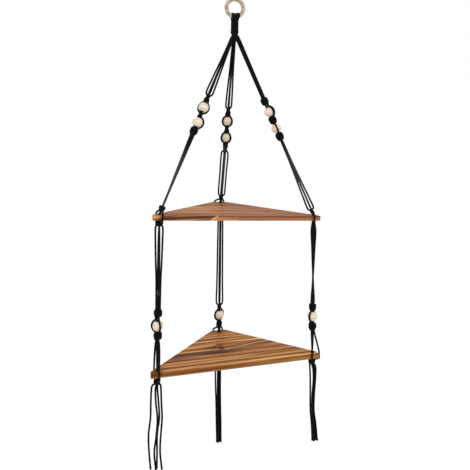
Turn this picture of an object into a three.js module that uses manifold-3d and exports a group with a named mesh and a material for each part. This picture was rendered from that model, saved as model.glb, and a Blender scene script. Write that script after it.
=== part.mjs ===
// Two-tier corner shelf hung on knotted cords.
// Six cords are folded over a wooden ring, which gives twelve strands and so four to a corner.
// Two of the four run straight as the core and carry the beads, the other two are tied round them.
// At each board corner the core goes through a drilled hole and the outer strands go round the edges.
// Millimetres, +Z up, front edge of the boards along X, origin at the top inside of the ring.

import * as THREE from "three";
import { mergeVertices } from "three/addons/utils/BufferGeometryUtils.js";
import Module from "manifold-3d";

const wasm = await Module();
wasm.setup();

// Driving sizes

const cordDiameter = 4.2;
const cordSides = 8;
const loopSides = 6;
const seatGap = 0.4;
const skinTolerance = 0.05;

const ringSection = 10;
const ringInnerDiameter = 34;
const ringClearance = 0.9;

const boardLength = 420;
const boardThickness = 12;
const tipCut = 13;
const backCut = 38;
const edgeEasing = 1;
const glueLine = 0.05;
const staveCount = 5;
const fingerLength = 14;
const fingerCount = 3;
const cordHoleDiameter = 10;

const axisToFrontEdge = 74;
const ringToUpperBoard = 513.5;
const upperToLowerBoard = 355;
const upperBoardTilt = 2.6;

const beadDiameter = 25;
const beadBore = 10.2;
const beadFacets = 12;

const knotThrough = 9.4;
const knotAcross = 5.2;

const columnWidth = 18.2;
const columnDepth = 12.8;
const columnTopDrop = 33;
const crownDrop = 76;
const crownKnotRadius = 7.4;
const crownReach = 23;
const crownLead = 9;
const legSection = [12, 9];

const swingGap = 0.9;
const passingPlay = 0.6;
const edgePlay = 0.3;
const swayGap = 2;
const swayBottomHeight = 3.6;

// Small helpers

const cordRadius = cordDiameter / 2;
const ringTube = ringSection / 2;
const ringRadius = ringInnerDiameter / 2 + ringTube;
const ringCentreZ = -ringInnerDiameter / 2;
const beadRadius = beadDiameter / 2;
const corePitch = cordDiameter + 0.2;
const gripReach = cordRadius + seatGap;
const tuckIn = cordRadius * 1.5;
const columnEndDrop = crownDrop - crownKnotRadius - seatGap;

const vec = (x, y, z) => new THREE.Vector3(x, y, z);
const radians = THREE.MathUtils.degToRad;
const lerp = THREE.MathUtils.lerp;

/** Drops normals and texture coordinates and joins equal corners, which leaves the closed skin. */
function skin(geometry) {
  const bare = geometry.clone();
  bare.deleteAttribute("normal");
  bare.deleteAttribute("uv");
  return mergeVertices(bare, 1e-4);
}

/** Turns a closed skin round where its faces point inwards. */
function outward(geometry) {
  const place = geometry.getAttribute("position");
  const index = geometry.getIndex().array;
  const corner = [vec(0, 0, 0), vec(0, 0, 0), vec(0, 0, 0)];
  let volume = 0;
  for (let i = 0; i < index.length; i += 3) {
    corner.forEach((point, k) => point.fromBufferAttribute(place, index[i + k]));
    volume += corner[0].dot(corner[1].clone().cross(corner[2]));
  }
  if (volume < 0) {
    for (let i = 0; i < index.length; i += 3) {
      [index[i], index[i + 1]] = [index[i + 1], index[i]];
    }
  }
  return geometry;
}

/** A solid for joining and cutting. */
function solid(geometry) {
  const closed = outward(skin(geometry));
  const vertProperties = new Float32Array(closed.getAttribute("position").array);
  const triVerts = new Uint32Array(closed.getIndex().array);
  return new wasm.Manifold(new wasm.Mesh({ numProp: 3, vertProperties, triVerts }));
}

/** The drawn form of a solid. */
function drawn(body) {
  const mesh = body.getMesh();
  const geometry = new THREE.BufferGeometry();
  geometry.setAttribute("position", new THREE.BufferAttribute(mesh.vertProperties, 3));
  geometry.setIndex(new THREE.BufferAttribute(mesh.triVerts, 1));
  geometry.computeVertexNormals();
  return geometry;
}

/** Joins several closed shapes into one and trims the whole. */
function fuse(shapes, trim = (body) => body) {
  const joined = shapes.map(solid).reduce((sum, next) => sum.add(next));
  return drawn(trim(joined).simplify(skinTolerance));
}

/** A closed shape through rings of equally many points, with a flat cap at each end. */
function loft(rings) {
  const count = rings[0].length;
  const points = rings.flat();
  const faces = [];
  for (let ring = 0; ring + 1 < rings.length; ring += 1) {
    for (let k = 0; k < count; k += 1) {
      const a = ring * count + k;
      const b = ring * count + ((k + 1) % count);
      faces.push(a, b, b + count, a, b + count, a + count);
    }
  }
  const last = (rings.length - 1) * count;
  for (let k = 1; k + 1 < count; k += 1) {
    faces.push(0, k + 1, k, last, last + k, last + k + 1);
  }
  const geometry = new THREE.BufferGeometry().setFromPoints(points);
  geometry.setIndex(faces);
  return outward(geometry);
}

/** A round cord through the given points. */
function strand(points, steps = 1, sides = cordSides) {
  const section = new THREE.Shape();
  for (let k = 0; k < sides; k += 1) {
    const angle = (2 * Math.PI * (k + 0.5)) / sides;
    const x = cordRadius * Math.cos(angle);
    const y = cordRadius * Math.sin(angle);
    if (k === 0) section.moveTo(x, y);
    else section.lineTo(x, y);
  }
  section.closePath();
  const straight = points.length === 2;
  const extrudePath = straight
    ? new THREE.LineCurve3(points[0], points[1])
    : new THREE.CatmullRomCurve3(points, false, "centripetal");
  return new THREE.ExtrudeGeometry(section, { steps, extrudePath, bevelEnabled: false });
}

/** Points of a smooth route between two shares of its length. */
function partOf(route, from, to, count) {
  const curve = new THREE.CatmullRomCurve3(route, false, "centripetal");
  const share = (k) => from + ((to - from) * k) / (count - 1);
  return Array.from({ length: count }, (_, k) => curve.getPointAt(share(k)));
}

/** A straight stretch of the suspension, with directions across it seen from the front. */
class Stretch {
  constructor(top, bottom) {
    this.top = top.clone();
    this.down = bottom.clone().sub(top).normalize();
    this.length = bottom.distanceTo(top);
    this.front = vec(0, -1, 0).addScaledVector(this.down, this.down.y).normalize();
    this.right = new THREE.Vector3().crossVectors(this.front, this.down);
  }

  /** A point so far along and so far out; a turn of 0 is to the right and 90 to the front. */
  at(along, out = 0, turn = 0) {
    const angle = radians(turn);
    return this.top
      .clone()
      .addScaledVector(this.down, along)
      .addScaledVector(this.right, out * Math.cos(angle))
      .addScaledVector(this.front, out * Math.sin(angle));
  }

  /** A point so far along, across a turned plane and through it. */
  aside(along, across, through, turn) {
    return this.at(along, across, turn).add(this.at(along, through, turn + 90)).sub(this.at(along));
  }

  /** The turn at which a direction leaves the stretch. */
  heading(direction) {
    const angle = Math.atan2(direction.dot(this.front), direction.dot(this.right));
    return THREE.MathUtils.radToDeg(angle);
  }

  /** Corners of the section of two cords lying side by side. */
  pairRing(along, turn) {
    return [...Array(8).keys()].map((k) => {
      const angle = (Math.PI * (k + 0.5)) / 4;
      const side = Math.sign(Math.cos(angle)) * (corePitch / 2);
      return this.aside(along, side + cordRadius * Math.cos(angle), cordRadius * Math.sin(angle), turn);
    });
  }

  /** The two core strands between two places. */
  core(from, to, turn) {
    return loft([this.pairRing(from, turn), this.pairRing(to, turn)]);
  }
}

const materials = {
  cord: () => new THREE.MeshStandardMaterial({ color: 0x1b1b1d, roughness: 0.85, metalness: 0 }),
  bead: () => new THREE.MeshStandardMaterial({ color: 0xd9c7a6, roughness: 0.6, metalness: 0 }),
  ring: () => new THREE.MeshStandardMaterial({ color: 0xb9a27e, roughness: 0.55, metalness: 0 }),
  board: (color) => new THREE.MeshStandardMaterial({ color, roughness: 0.45, metalness: 0 }),
};

const shelf = new THREE.Group();
shelf.name = "hanging_rope_shelf";

function place(parent, name, geometry, material) {
  const mesh = new THREE.Mesh(geometry, material);
  mesh.name = name;
  parent.add(mesh);
  return mesh;
}

// Ring

const ringGeometry = new THREE.TorusGeometry(ringRadius, ringTube, 8, 24);
ringGeometry.rotateX(Math.PI / 2);
ringGeometry.translate(0, 0, ringCentreZ);
place(shelf, "hang_ring", skin(ringGeometry), materials.ring());

// Crown: six loops over the ring, gathered into a column

const loopCount = 6;
const loopPitch = 3.3;
const loopFoot = 3;
const loopReach = ringTube + ringClearance + cordRadius;
const columnLobes = 10;
const lobePoints = 3;
const lobeDepth = 0.07;
const boxiness = 0.75;

/** One folded cord over the bottom of the ring, in the plane that cuts the ring square. */
function ringLoop(index) {
  const offset = (index - (loopCount - 1) / 2) * loopPitch;
  const lean = offset / ringRadius;
  const tube = vec(ringRadius * Math.sin(lean), 0, ringCentreZ - ringRadius * Math.cos(lean));
  const inward = vec(-Math.sin(lean), 0, Math.cos(lean));
  const over = [-90, -45, 0, 45, 90].map((angle) =>
    tube
      .clone()
      .addScaledVector(inward, loopReach * Math.cos(radians(angle)))
      .add(vec(0, loopReach * Math.sin(radians(angle)), 0)),
  );
  const squeeze = (columnWidth - cordDiameter) / ((loopCount - 1) * loopPitch);
  const footZ = ringCentreZ - columnTopDrop - loopFoot;
  const foot = (side) => vec(offset * squeeze, side * columnDepth * 0.26, footZ);
  return strand([foot(-1), ...over, foot(1)], 9, loopSides);
}

/** A lobed outline, as of strands lying side by side. */
function bundleRing(stretch, along, width, depth, lobes, scale, turn = 0) {
  const count = lobes * lobePoints;
  return Array.from({ length: count }, (_, k) => {
    const angle = (2 * Math.PI * k) / count;
    const lobe = 1 - lobeDepth * Math.cos(lobes * angle);
    const boxed = (part) => Math.sign(part) * Math.abs(part) ** boxiness * lobe * scale;
    const across = boxed(Math.cos(angle)) * (width / 2);
    const through = boxed(Math.sin(angle)) * (depth / 2);
    return stretch.aside(along, across, through, turn);
  });
}

const ringCentre = vec(0, 0, ringCentreZ);
const crown = vec(0, 0, ringCentreZ - crownDrop);
const columnLine = new Stretch(ringCentre, crown);

/** A ball about the crown's middle; the legs part from the crown along one, so that they can sway. */
const ballAtCrown = (radius, around, rings) =>
  new THREE.SphereGeometry(radius, around, rings).translate(crown.x, crown.y, crown.z);

const columnProfile = [
  [columnTopDrop, 0.92],
  [columnTopDrop + 4, 1],
  [columnEndDrop - 7, 1],
  [columnEndDrop - 4, 1.08],
  [columnEndDrop, 0.8],
];
const columnRing = ([drop, scale]) =>
  bundleRing(columnLine, drop, columnWidth, columnDepth, columnLobes, scale);
const column = loft(columnProfile.map(columnRing));
const loops = Array.from({ length: loopCount }, (_, index) => ringLoop(index));
place(shelf, "crown_column", fuse([column, ...loops]), materials.cord());

// Boards

const halfBoard = boardLength / 2;
const virtualTip = halfBoard + tipCut;
const boardDepth = virtualTip - backCut / 2;
const tones = { orange: 0xa5602c, amber: 0xb9793f, redBrown: 0x8a4f35, tan: 0xb07a4a, walnut: 0x6b4630 };

/** Middle of the cord hole of each corner, measured from the middle of the front edge. */
const corners = {
  left: { side: -1, hole: 31 },
  right: { side: 1, hole: 29 },
  back: { side: 0, hole: 12 },
};
const halfTip = radians(22.5);
for (const corner of Object.values(corners)) {
  corner.x = corner.side * (virtualTip - corner.hole * Math.cos(halfTip));
  corner.y = corner.side === 0 ? boardDepth - corner.hole : corner.hole * Math.sin(halfTip);
}

/** The whole board with eased edges and its three cord holes, top face at height 0. */
function boardBlank() {
  const outline = new THREE.Shape();
  const inset = edgeEasing;
  const tipX = halfBoard - inset;
  const slant = inset * (Math.SQRT2 - 1);
  outline.moveTo(-tipX, inset);
  outline.lineTo(tipX, inset);
  outline.lineTo(tipX, tipCut - slant);
  outline.lineTo(backCut / 2 - slant, boardDepth - inset);
  outline.lineTo(-backCut / 2 + slant, boardDepth - inset);
  outline.lineTo(-tipX, tipCut - slant);
  outline.closePath();
  const geometry = new THREE.ExtrudeGeometry(outline, {
    depth: boardThickness - 2 * edgeEasing,
    bevelEnabled: true,
    bevelThickness: edgeEasing,
    bevelSize: edgeEasing,
    bevelSegments: 1,
  });
  geometry.translate(0, 0, edgeEasing - boardThickness);
  let blank = solid(geometry);
  for (const corner of Object.values(corners)) {
    const radius = cordHoleDiameter / 2;
    const drill = new THREE.CylinderGeometry(radius, radius, 3 * boardThickness, 16);
    drill.rotateX(Math.PI / 2);
    drill.translate(corner.x, corner.y, -boardThickness / 2);
    blank = blank.subtract(solid(drill));
  }
  return blank;
}

/** A band of the board; a joint at x splits it into two lengths with interlocking fingers. */
function band(index, from, to) {
  const staveWidth = boardDepth / staveCount;
  const near = index * staveWidth + (index > 0 ? glueLine / 2 : -1);
  const far = (index + 1) * staveWidth - (index + 1 < staveCount ? glueLine / 2 : -1);
  const low = -boardThickness - 1;
  const high = 1;
  const profile = new THREE.Shape();
  const end = (x, upwards) => {
    const teeth = [];
    for (let k = 0; k <= 2 * fingerCount; k += 1) {
      const height = low + ((high - low) * k) / (2 * fingerCount);
      teeth.push([x + (k % 2 === 0 ? -0.5 : 0.5) * fingerLength, height]);
    }
    return upwards ? teeth : teeth.reverse();
  };
  const square = (x) => [[x, low], [x, high]];
  const right = to === null ? square(halfBoard + 1) : end(to - glueLine / 2, true);
  const left = from === null ? square(-halfBoard - 1).reverse() : end(from + glueLine / 2, false);
  profile.setFromPoints([...right, ...left].map(([x, z]) => new THREE.Vector2(x, z)));
  profile.closePath();
  const geometry = new THREE.ExtrudeGeometry(profile, { depth: far - near, bevelEnabled: false });
  geometry.rotateX(Math.PI / 2);
  geometry.translate(0, far, 0);
  return solid(geometry);
}

/** Fills a group with a board's staves, front to back; the jointed one comes in two lengths. */
function buildBoard(group, name, jointedStave, jointX, staveTones, secondTone) {
  const blank = boardBlank();
  for (let index = 0; index < staveCount; index += 1) {
    const split = [[null, jointX, "_left"], [jointX, null, "_right"]];
    const lengths = index === jointedStave ? split : [[null, null, ""]];
    lengths.forEach(([from, to, suffix], k) => {
      const geometry = drawn(blank.intersect(band(index, from, to)));
      const color = tones[k === 0 ? staveTones[index] : secondTone];
      place(group, `${name}_stave_${index + 1}${suffix}`, geometry, materials.board(color));
    });
  }
}

const upperBoard = new THREE.Group();
upperBoard.position.set(0, -axisToFrontEdge, ringCentreZ - ringToUpperBoard);
upperBoard.rotation.y = radians(upperBoardTilt);
const upperTones = ["redBrown", "tan", "amber", "walnut", "orange"];
buildBoard(upperBoard, "upper_board", 0, -7, upperTones, "orange");
shelf.add(upperBoard);

const lowerBoard = new THREE.Group();
lowerBoard.position.set(0, -axisToFrontEdge, ringCentreZ - ringToUpperBoard - upperToLowerBoard);
const lowerTones = ["amber", "orange", "redBrown", "walnut", "amber"];
buildBoard(lowerBoard, "lower_board", 2, -28, lowerTones, "tan");
shelf.add(lowerBoard);
shelf.updateMatrixWorld(true);

/** A point of a board, given in the board's own directions. */
const onBoard = (board, x, y, z) => board.localToWorld(vec(x, y, z));

// Knots and beads

/** Rings of a knot: its place and its width as shares, and the slant of the wrap in degrees. */
const knotRings = [
  [-1, 0.56, 0],
  [-0.6, 0.94, 13],
  [-0.2, 0.9, 4],
  [0.2, 0.9, -4],
  [0.6, 0.94, -13],
  [1, 0.56, 0],
];
const knotPoints = 8;

/** A knot round the core: two crossing wraps, narrow in the plane of its turn and proud through it. */
function tie(stretch, knot) {
  return loft(
    knotRings.map(([share, scale, slant]) =>
      Array.from({ length: knotPoints }, (_, k) => {
        const angle = (2 * Math.PI * (k + 0.5)) / knotPoints;
        const across = knotAcross * scale * Math.cos(angle);
        const through = knotThrough * scale * Math.sin(angle);
        return stretch.aside(knot.at + share * knot.half, across, through, knot.turn + slant);
      }),
    ),
  );
}

/** How far out a strand lies that leaves a knot at its side, by its turn from the knot's own. */
function besideKnot(turn) {
  const angle = radians(turn);
  const edge = 1 / Math.hypot(Math.cos(angle) / knotAcross, Math.sin(angle) / knotThrough);
  return 0.92 * edge + cordRadius + seatGap;
}

/** A drilled round bead on the core. */
function beadGeometry() {
  const bore = beadBore / 2;
  const edge = Math.asin(bore / beadRadius);
  const arcs = 6;
  const profile = [];
  for (let k = 0; k <= arcs; k += 1) {
    const angle = edge + ((Math.PI - 2 * edge) * k) / arcs;
    profile.push(new THREE.Vector2(beadRadius * Math.sin(angle), -beadRadius * Math.cos(angle)));
  }
  profile.push(profile[0].clone());
  return outward(skin(new THREE.LatheGeometry(profile, beadFacets)));
}

function placeBead(name, stretch, along) {
  const mesh = place(shelf, name, beadGeometry(), materials.bead());
  mesh.position.copy(stretch.at(along));
  mesh.quaternion.setFromUnitVectors(vec(0, -1, 0), stretch.down);
}

/** An outer strand that leaves one knot at its side, passes a bead and ends in the next knot. */
function beadStrand(stretch, above, bead, below, turn) {
  const reach = beadRadius + cordRadius + seatGap;
  const slant = reach * Math.SQRT1_2 + passingPlay;
  return strand(
    [
      stretch.at(above.at + above.half * 0.8, besideKnot(turn - above.turn), turn),
      stretch.at(bead - slant, slant, turn),
      stretch.at(bead, reach + seatGap, turn),
      stretch.at(bead + slant, slant, turn),
      stretch.at(below.at - below.half * 0.3, tuckIn, turn),
    ],
    6,
  );
}

/** The four strands from a place down into a knot, by stations of share, spread and turns. */
function openStrands(stretch, from, knot, stations) {
  const to = knot.at - knot.half - cordRadius;
  const along = (share) => lerp(from, to, share);
  const last = stations[stations.length - 1];
  const outer = (side) =>
    strand(
      [
        ...stations.map(([share, spread, turn]) => stretch.at(along(share), spread, turn + side)),
        stretch.at(knot.at - knot.half * 0.4, tuckIn, last[2] + side),
      ],
      2 * stations.length,
    );
  const core = stations.map(([share, , , coreTurn]) => stretch.pairRing(along(share), coreTurn));
  return [loft([...core, stretch.pairRing(knot.at, last[3])]), outer(0), outer(180)];
}

/** Stations of a flat band of four strands that turns round its own line. */
function flatBand(spreads, turns) {
  return [0, 0.25, 0.5, 0.75, 1].map((share) => {
    const turn = lerp(...turns, share);
    return [share, lerp(...spreads, share), turn, turn];
  });
}

// The three legs

/** Strands to a leg, and how far down each tassel its measured places lie, as shares. */
const legStrands = 4;
const tasselShares = [0, 0.025, 0.07, 0.2, 0.4, 0.6, 0.8, 1];

/**
 * Places along each leg in millimetres and turns in degrees.
 * Knots: place, half length and turn; on the slope from the crown, under the boards from their top.
 * Stations: share of the way, spread of the outer strands, their turn and the core's turn.
 */
const legs = {
  left: {
    foot: 6.5,
    fan: [
      [0, 4.4, 16, 106],
      [0.45, 4.6, 16, 106],
      [0.76, 6.3, 16, 106],
      [1, 7, 16, 106],
    ],
    slopeKnots: [
      { at: 168, half: 7, turn: 16 },
      { at: 215.5, half: 6.5, turn: 16 },
      { at: 258.5, half: 9, turn: 106 },
    ],
    beads: [195.5, 235.5],
    beadTurns: [[-14, 226], [10, -80], [77, 205]],
    bundle: flatBand([6.6, 6.6], [72, 108]),
    boardKnot: { height: 16, half: 6, turn: 56 },
    underUpper: { drop: 19.8, half: 7, turn: 76 },
    drop: [
      [0, 5.2, 16, 100],
      [0.04, 7.8, 16, 90],
      [0.2, 7.7, 16, 60],
      [0.4, 6.2, 16, 50],
      [0.65, 5.3, 16, 66],
      [1, 4.4, 16, 100],
    ],
    dropKnots: [
      { at: 210, half: 9.5, turn: 106 },
      { at: 262, half: 9, turn: 106 },
    ],
    thirdBead: 239,
    grips: { upper: [37, 37], lower: [36, 36], roundTheEnd: false },
    underLower: { drop: 26, half: 6, turn: 56 },
    tassel: {
      length: 189.8,
      turn: 16,
      routes: [
        [-5, -10, -12.3, -14, -14.4, -18.4, -16.7, -12.6],
        [-1.2, -1.4, -3, -2.2, 2.1, -0.1, -4.1, 0],
        [1.2, 1.2, 0.6, 3.1, 5.8, 1.3, 1.6, 1.4],
        [5, 7.5, 8.8, 10.4, 12.7, 10.1, 9.1, 13.6],
      ],
    },
  },
  right: {
    foot: 7.5,
    fan: flatBand([6.4, 6.6], [66, 82]),
    slopeKnots: [
      { at: 175.5, half: 9, turn: 106 },
      { at: 226.5, half: 9, turn: 106 },
      { at: 272, half: 9.5, turn: 106 },
    ],
    beads: [204, 249],
    beadTurns: [[60, -12], [100, -78], [146, -70]],
    bundle: flatBand([6.6, 7.4], [100, 56]),
    boardKnot: { height: 11, half: 6, turn: 16 },
    underUpper: { drop: 19.8, half: 7, turn: 16 },
    drop: [
      [0, 4.8, 60, 60],
      [0.08, 6.6, 66, 66],
      [0.28, 6.6, 86, 86],
      [0.47, 6.6, 106, 106],
      [0.75, 6.6, 127, 127],
      [1, 6.4, 146, 146],
    ],
    dropKnots: [
      { at: 211.5, half: 8.5, turn: 90 },
      { at: 260, half: 9, turn: 106 },
    ],
    thirdBead: 234,
    grips: { upper: [31, 31], lower: [33, 0], roundTheEnd: true },
    underLower: { drop: 22.8, half: 6.5, turn: 80 },
    tassel: {
      length: 190.6,
      turn: 16,
      routes: [
        [-4.6, -4, -3.4, -2.3, -2.5, -1.9, 1.4, 3.3],
        [-1, -0.7, 1.8, 3.9, 1.5, 1.8, 5.2, 7.2],
        [1.2, 1.5, 4.6, 5.5, 3.4, 3, 8, 11.5],
        [5, 8, 9.6, 9.3, 7, 6.6, 11.8, 15.8],
      ],
    },
  },
  back: {
    foot: 3,
    fan: [
      [0, 4.4, 16, 106],
      [0.52, 4.8, 16, 106],
      [0.86, 6.3, 16, 106],
      [1, 6.5, 16, 106],
    ],
    slopeKnots: [
      { at: 189.5, half: 7, turn: 16 },
      { at: 240, half: 7, turn: 16 },
      { at: 297, half: 7, turn: 50 },
    ],
    beads: [218.5, 264],
    beadTurns: [[49, 163], [49, 163], [-30, 160]],
    bundle: [
      [0, 5.2, 16, 106],
      [0.05, 8.2, 16, 106],
      [0.5, 8.4, 16, 106],
      [0.94, 8.2, 16, 106],
      [1, 7.6, 16, 106],
    ],
    boardKnot: { height: 16, half: 6, turn: 30 },
    underUpper: { drop: 19.8, half: 7, turn: 16 },
    drop: [
      [0, 4.4, 16, 70],
      [0.1, 5, 16, 70],
      [0.35, 6.1, 16, 60],
      [0.6, 6.9, 16, 60],
      [0.8, 7.4, 16, 70],
      [1, 7.5, 16, 95],
    ],
    dropKnots: [
      { at: 266, half: 7, turn: 16 },
      { at: 314.5, half: 7, turn: 60 },
    ],
    thirdBead: 288,
    grips: { upper: [12.5, 12.5], lower: [12.5, 12.5], roundTheEnd: false },
    underLower: { drop: 21, half: 6, turn: 16 },
    tassel: {
      length: 269.8,
      turn: 16,
      routes: [
        [-4.6, -6.5, -7.6, -8.5, -8.1, -5.8, -4.1, -2.3],
        [-1, -1.6, -2, -2, -2.2, -1.8, -0.2, 1.5],
        [1, 1.4, 1.6, 1.6, 1.6, 2.2, 3.6, 5],
        [4.8, 5.4, 5.4, 5.2, 5.2, 6.2, 7.9, 8.9],
      ],
    },
  },
};

/** Where a corner's two outer strands cross the board's edges, and which way is outward there. */
function edgeCrossings(corner, reaches, roundTheEnd) {
  const { side } = corner;
  const [first, second] = reaches;
  if (side === 0) {
    return [
      { x: -first, y: boardDepth, out: vec(0, 1, 0) },
      { x: second, y: boardDepth, out: vec(0, 1, 0) },
    ];
  }
  const front = { x: side * (virtualTip - first), y: 0, out: vec(0, -1, 0) };
  const end = { x: side * halfBoard, y: tipCut / 2, out: vec(side, 0, 0) };
  const slanted = {
    x: side * (virtualTip - second * Math.SQRT1_2),
    y: second * Math.SQRT1_2,
    out: vec(side * Math.SQRT1_2, Math.SQRT1_2, 0),
  };
  return [front, roundTheEnd ? end : slanted];
}

/** Points of an outer strand just outside one edge of a board, from above it to below it. */
function roundEdge(board, crossing, above, below) {
  const reach = gripReach + edgePlay;
  return [above, -boardThickness / 2, -boardThickness - below].map((z) =>
    onBoard(board, crossing.x + crossing.out.x * reach, crossing.y + crossing.out.y * reach, z),
  );
}

/** The level direction from a cord hole to a place beside the board. */
const levelAside = (hole, point) => point.clone().sub(hole).setZ(0).normalize();

const tasselPair = corePitch * 0.55;
const stubs = [];

for (const [name, leg] of Object.entries(legs)) {
  const corner = corners[name];
  const upperHole = onBoard(upperBoard, corner.x, corner.y, 0);
  const lowerHole = onBoard(lowerBoard, corner.x, corner.y, 0);
  const foot = crown.clone().addScaledVector(levelAside(crown, upperHole), leg.foot);
  const slope = new Stretch(foot, upperHole);

  // the gathered strands where the leg leaves the crown
  const stubRing = (along) =>
    bundleRing(slope, along, ...legSection, legStrands, 1, leg.fan[0][2]);
  stubs.push(loft([-2, crownReach].map(stubRing)));

  // from the crown, fanned out, into the first knot
  const [first, second, third] = leg.slopeKnots;
  place(
    shelf,
    `${name}_crown_cords`,
    fuse(
      [tie(slope, first), ...openStrands(slope, crownReach - crownLead, first, leg.fan)],
      (body) => body.subtract(solid(ballAtCrown(crownReach + swingGap, 32, 20))),
    ),
    materials.cord(),
  );

  // two beads, each held between knots
  const spans = [[first, second], [second, third]];
  spans.forEach(([above, below], index) => {
    const bead = leg.beads[index];
    const turns = leg.beadTurns[index];
    placeBead(`${name}_bead_${index + 1}`, slope, bead);
    place(
      shelf,
      `${name}_bead_cords_${index + 1}`,
      fuse([
        tie(slope, below),
        slope.core(above.at + above.half + seatGap, below.at, below.turn),
        ...turns.map((turn) => beadStrand(slope, above, bead, below, turn)),
      ]),
      materials.cord(),
    );
  });

  // down to the knot above the upper board
  const boardKnot = { ...leg.boardKnot, at: slope.length - leg.boardKnot.height };
  const bundleTop = third.at + third.half + 2 * seatGap;
  const bundle = openStrands(slope, bundleTop, boardKnot, leg.bundle);
  place(shelf, `${name}_leg_cords`, fuse([tie(slope, boardKnot), ...bundle]), materials.cord());

  // round the upper board's edges and through its hole, into the knot under it
  const underUpper = upperHole.clone().add(vec(0, 0, -leg.underUpper.drop));
  const upperKnot = { ...leg.underUpper, at: 0 };
  const drop = new Stretch(underUpper, lowerHole);
  const crossings = edgeCrossings(corner, leg.grips.upper, false);
  const grip = crossings.map((crossing) => {
    const edge = roundEdge(upperBoard, crossing, 1.6, 2);
    const aside = levelAside(upperHole, edge[0]);
    const heading = slope.heading(aside);
    const beside = besideKnot(heading - boardKnot.turn);
    const start = slope.at(boardKnot.at + boardKnot.half * 0.8, beside, heading);
    const into = underUpper.clone().addScaledVector(aside, tuckIn);
    return strand([start, ...edge, into], 8);
  });
  const above = new Stretch(upperHole, upperHole.clone().add(vec(0, 0, -1)));
  const core = loft([
    slope.pairRing(boardKnot.at + boardKnot.half + seatGap, boardKnot.turn),
    above.pairRing(0, boardKnot.turn),
    drop.pairRing(0, boardKnot.turn),
  ]);
  place(
    shelf,
    `${name}_upper_grip`,
    fuse([tie(drop, upperKnot), core, ...grip]),
    materials.cord(),
  );

  // down to the knot above the third bead
  const [sixth, seventh] = leg.dropKnots;
  place(
    shelf,
    `${name}_drop_cords`,
    fuse([tie(drop, sixth), ...openStrands(drop, upperKnot.half + swingGap, sixth, leg.drop)]),
    materials.cord(),
  );

  // past the third bead, and on to just above the lower board
  const turns = leg.beadTurns[2];
  const underLower = lowerHole.clone().add(vec(0, 0, -leg.underLower.drop));
  const lowerCrossings = edgeCrossings(corner, leg.grips.lower, leg.grips.roundTheEnd);
  const lowerRoutes = lowerCrossings.map((crossing) => {
    const edge = roundEdge(lowerBoard, crossing, 2, 2);
    const aside = levelAside(lowerHole, edge[0]);
    const start = drop.at(seventh.at + seventh.half * 0.3).addScaledVector(aside, tuckIn);
    const into = underLower.clone().addScaledVector(aside, tuckIn);
    const route = [start, ...edge, into];
    const toEdge = start.distanceTo(edge[0]);
    const total = new THREE.CatmullRomCurve3(route, false, "centripetal").getLength();
    const cut = (toEdge - swayBottomHeight) / total;
    return { route, cut, gap: swayGap / total };
  });
  const coreCut = drop.length - swayBottomHeight;
  placeBead(`${name}_bead_3`, drop, leg.thirdBead);
  place(
    shelf,
    `${name}_bead_cords_3`,
    fuse([
      tie(drop, seventh),
      drop.core(sixth.at + sixth.half + seatGap, coreCut, seventh.turn),
      ...turns.map((turn) => beadStrand(drop, sixth, leg.thirdBead, seventh, turn)),
      ...lowerRoutes.map(({ route, cut }) => strand(partOf(route, 0, cut, 4), 4)),
    ]),
    materials.cord(),
  );

  // round the lower board's edges and through its hole, into the last knot
  const lastKnot = { ...leg.underLower, at: leg.underLower.drop };
  place(
    shelf,
    `${name}_lower_grip`,
    fuse([
      tie(new Stretch(lowerHole, underLower), lastKnot),
      drop.core(coreCut + swingGap, drop.length + lastKnot.at, seventh.turn),
      ...lowerRoutes.map(({ route, cut, gap }) => strand(partOf(route, cut + gap, 1, 8), 7)),
    ]),
    materials.cord(),
  );

  // four loose ends
  const { length, turn, routes } = leg.tassel;
  const tailTop = underLower.clone().add(vec(0, 0, -lastKnot.half - swingGap));
  const tail = new Stretch(tailTop, tailTop.clone().add(vec(0, 0, -length)));
  routes.forEach((offsets, k) => {
    const through = [0, tasselPair, -tasselPair, 0][k];
    const points = offsets.map((across, step) =>
      tail.aside(length * tasselShares[step], across, through, turn),
    );
    place(shelf, `${name}_tassel_${k + 1}`, skin(strand(points, 10)), materials.cord());
  });
}

// The crown knot, from which the three legs leave

const crownKnot = fuse([ballAtCrown(crownKnotRadius, 12, 8), ...stubs], (body) =>
  body.intersect(solid(ballAtCrown(crownReach, 32, 20))),
);
place(shelf, "crown_knot", crownKnot, materials.cord());

export default shelf;
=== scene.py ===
"""Two-tier corner shelf hung on knotted black cords: its detailed pieces, finishes and studio."""

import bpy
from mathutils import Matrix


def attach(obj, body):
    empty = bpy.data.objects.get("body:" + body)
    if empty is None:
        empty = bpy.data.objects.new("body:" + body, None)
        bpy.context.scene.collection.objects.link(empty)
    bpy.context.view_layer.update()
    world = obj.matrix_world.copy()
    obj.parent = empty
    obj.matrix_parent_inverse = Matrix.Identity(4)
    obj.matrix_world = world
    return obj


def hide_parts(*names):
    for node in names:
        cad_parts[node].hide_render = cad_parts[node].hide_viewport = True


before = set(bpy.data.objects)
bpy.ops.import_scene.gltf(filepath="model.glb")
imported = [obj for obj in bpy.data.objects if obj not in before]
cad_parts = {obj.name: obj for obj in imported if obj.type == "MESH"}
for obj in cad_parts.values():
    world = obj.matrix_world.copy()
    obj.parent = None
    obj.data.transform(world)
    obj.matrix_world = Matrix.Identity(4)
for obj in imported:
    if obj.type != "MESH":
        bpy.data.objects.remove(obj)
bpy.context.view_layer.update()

import logging
import math
from dataclasses import dataclass, replace
from enum import Enum

import bmesh
import bpy
from mathutils import Matrix, Vector

log = logging.getLogger("shelf")

MM = 0.001
FULL_TURN = 360.0
HALF_TURN = 180.0
QUARTER_TURN = 90.0


class Body(str, Enum):
    """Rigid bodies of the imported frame."""

    RING = "ring_body"
    CROWN = "crown"
    CROWN_KNOT = "knot_body"
    UPPER = "upper_tier"
    LOWER = "lower_tier"


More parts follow.
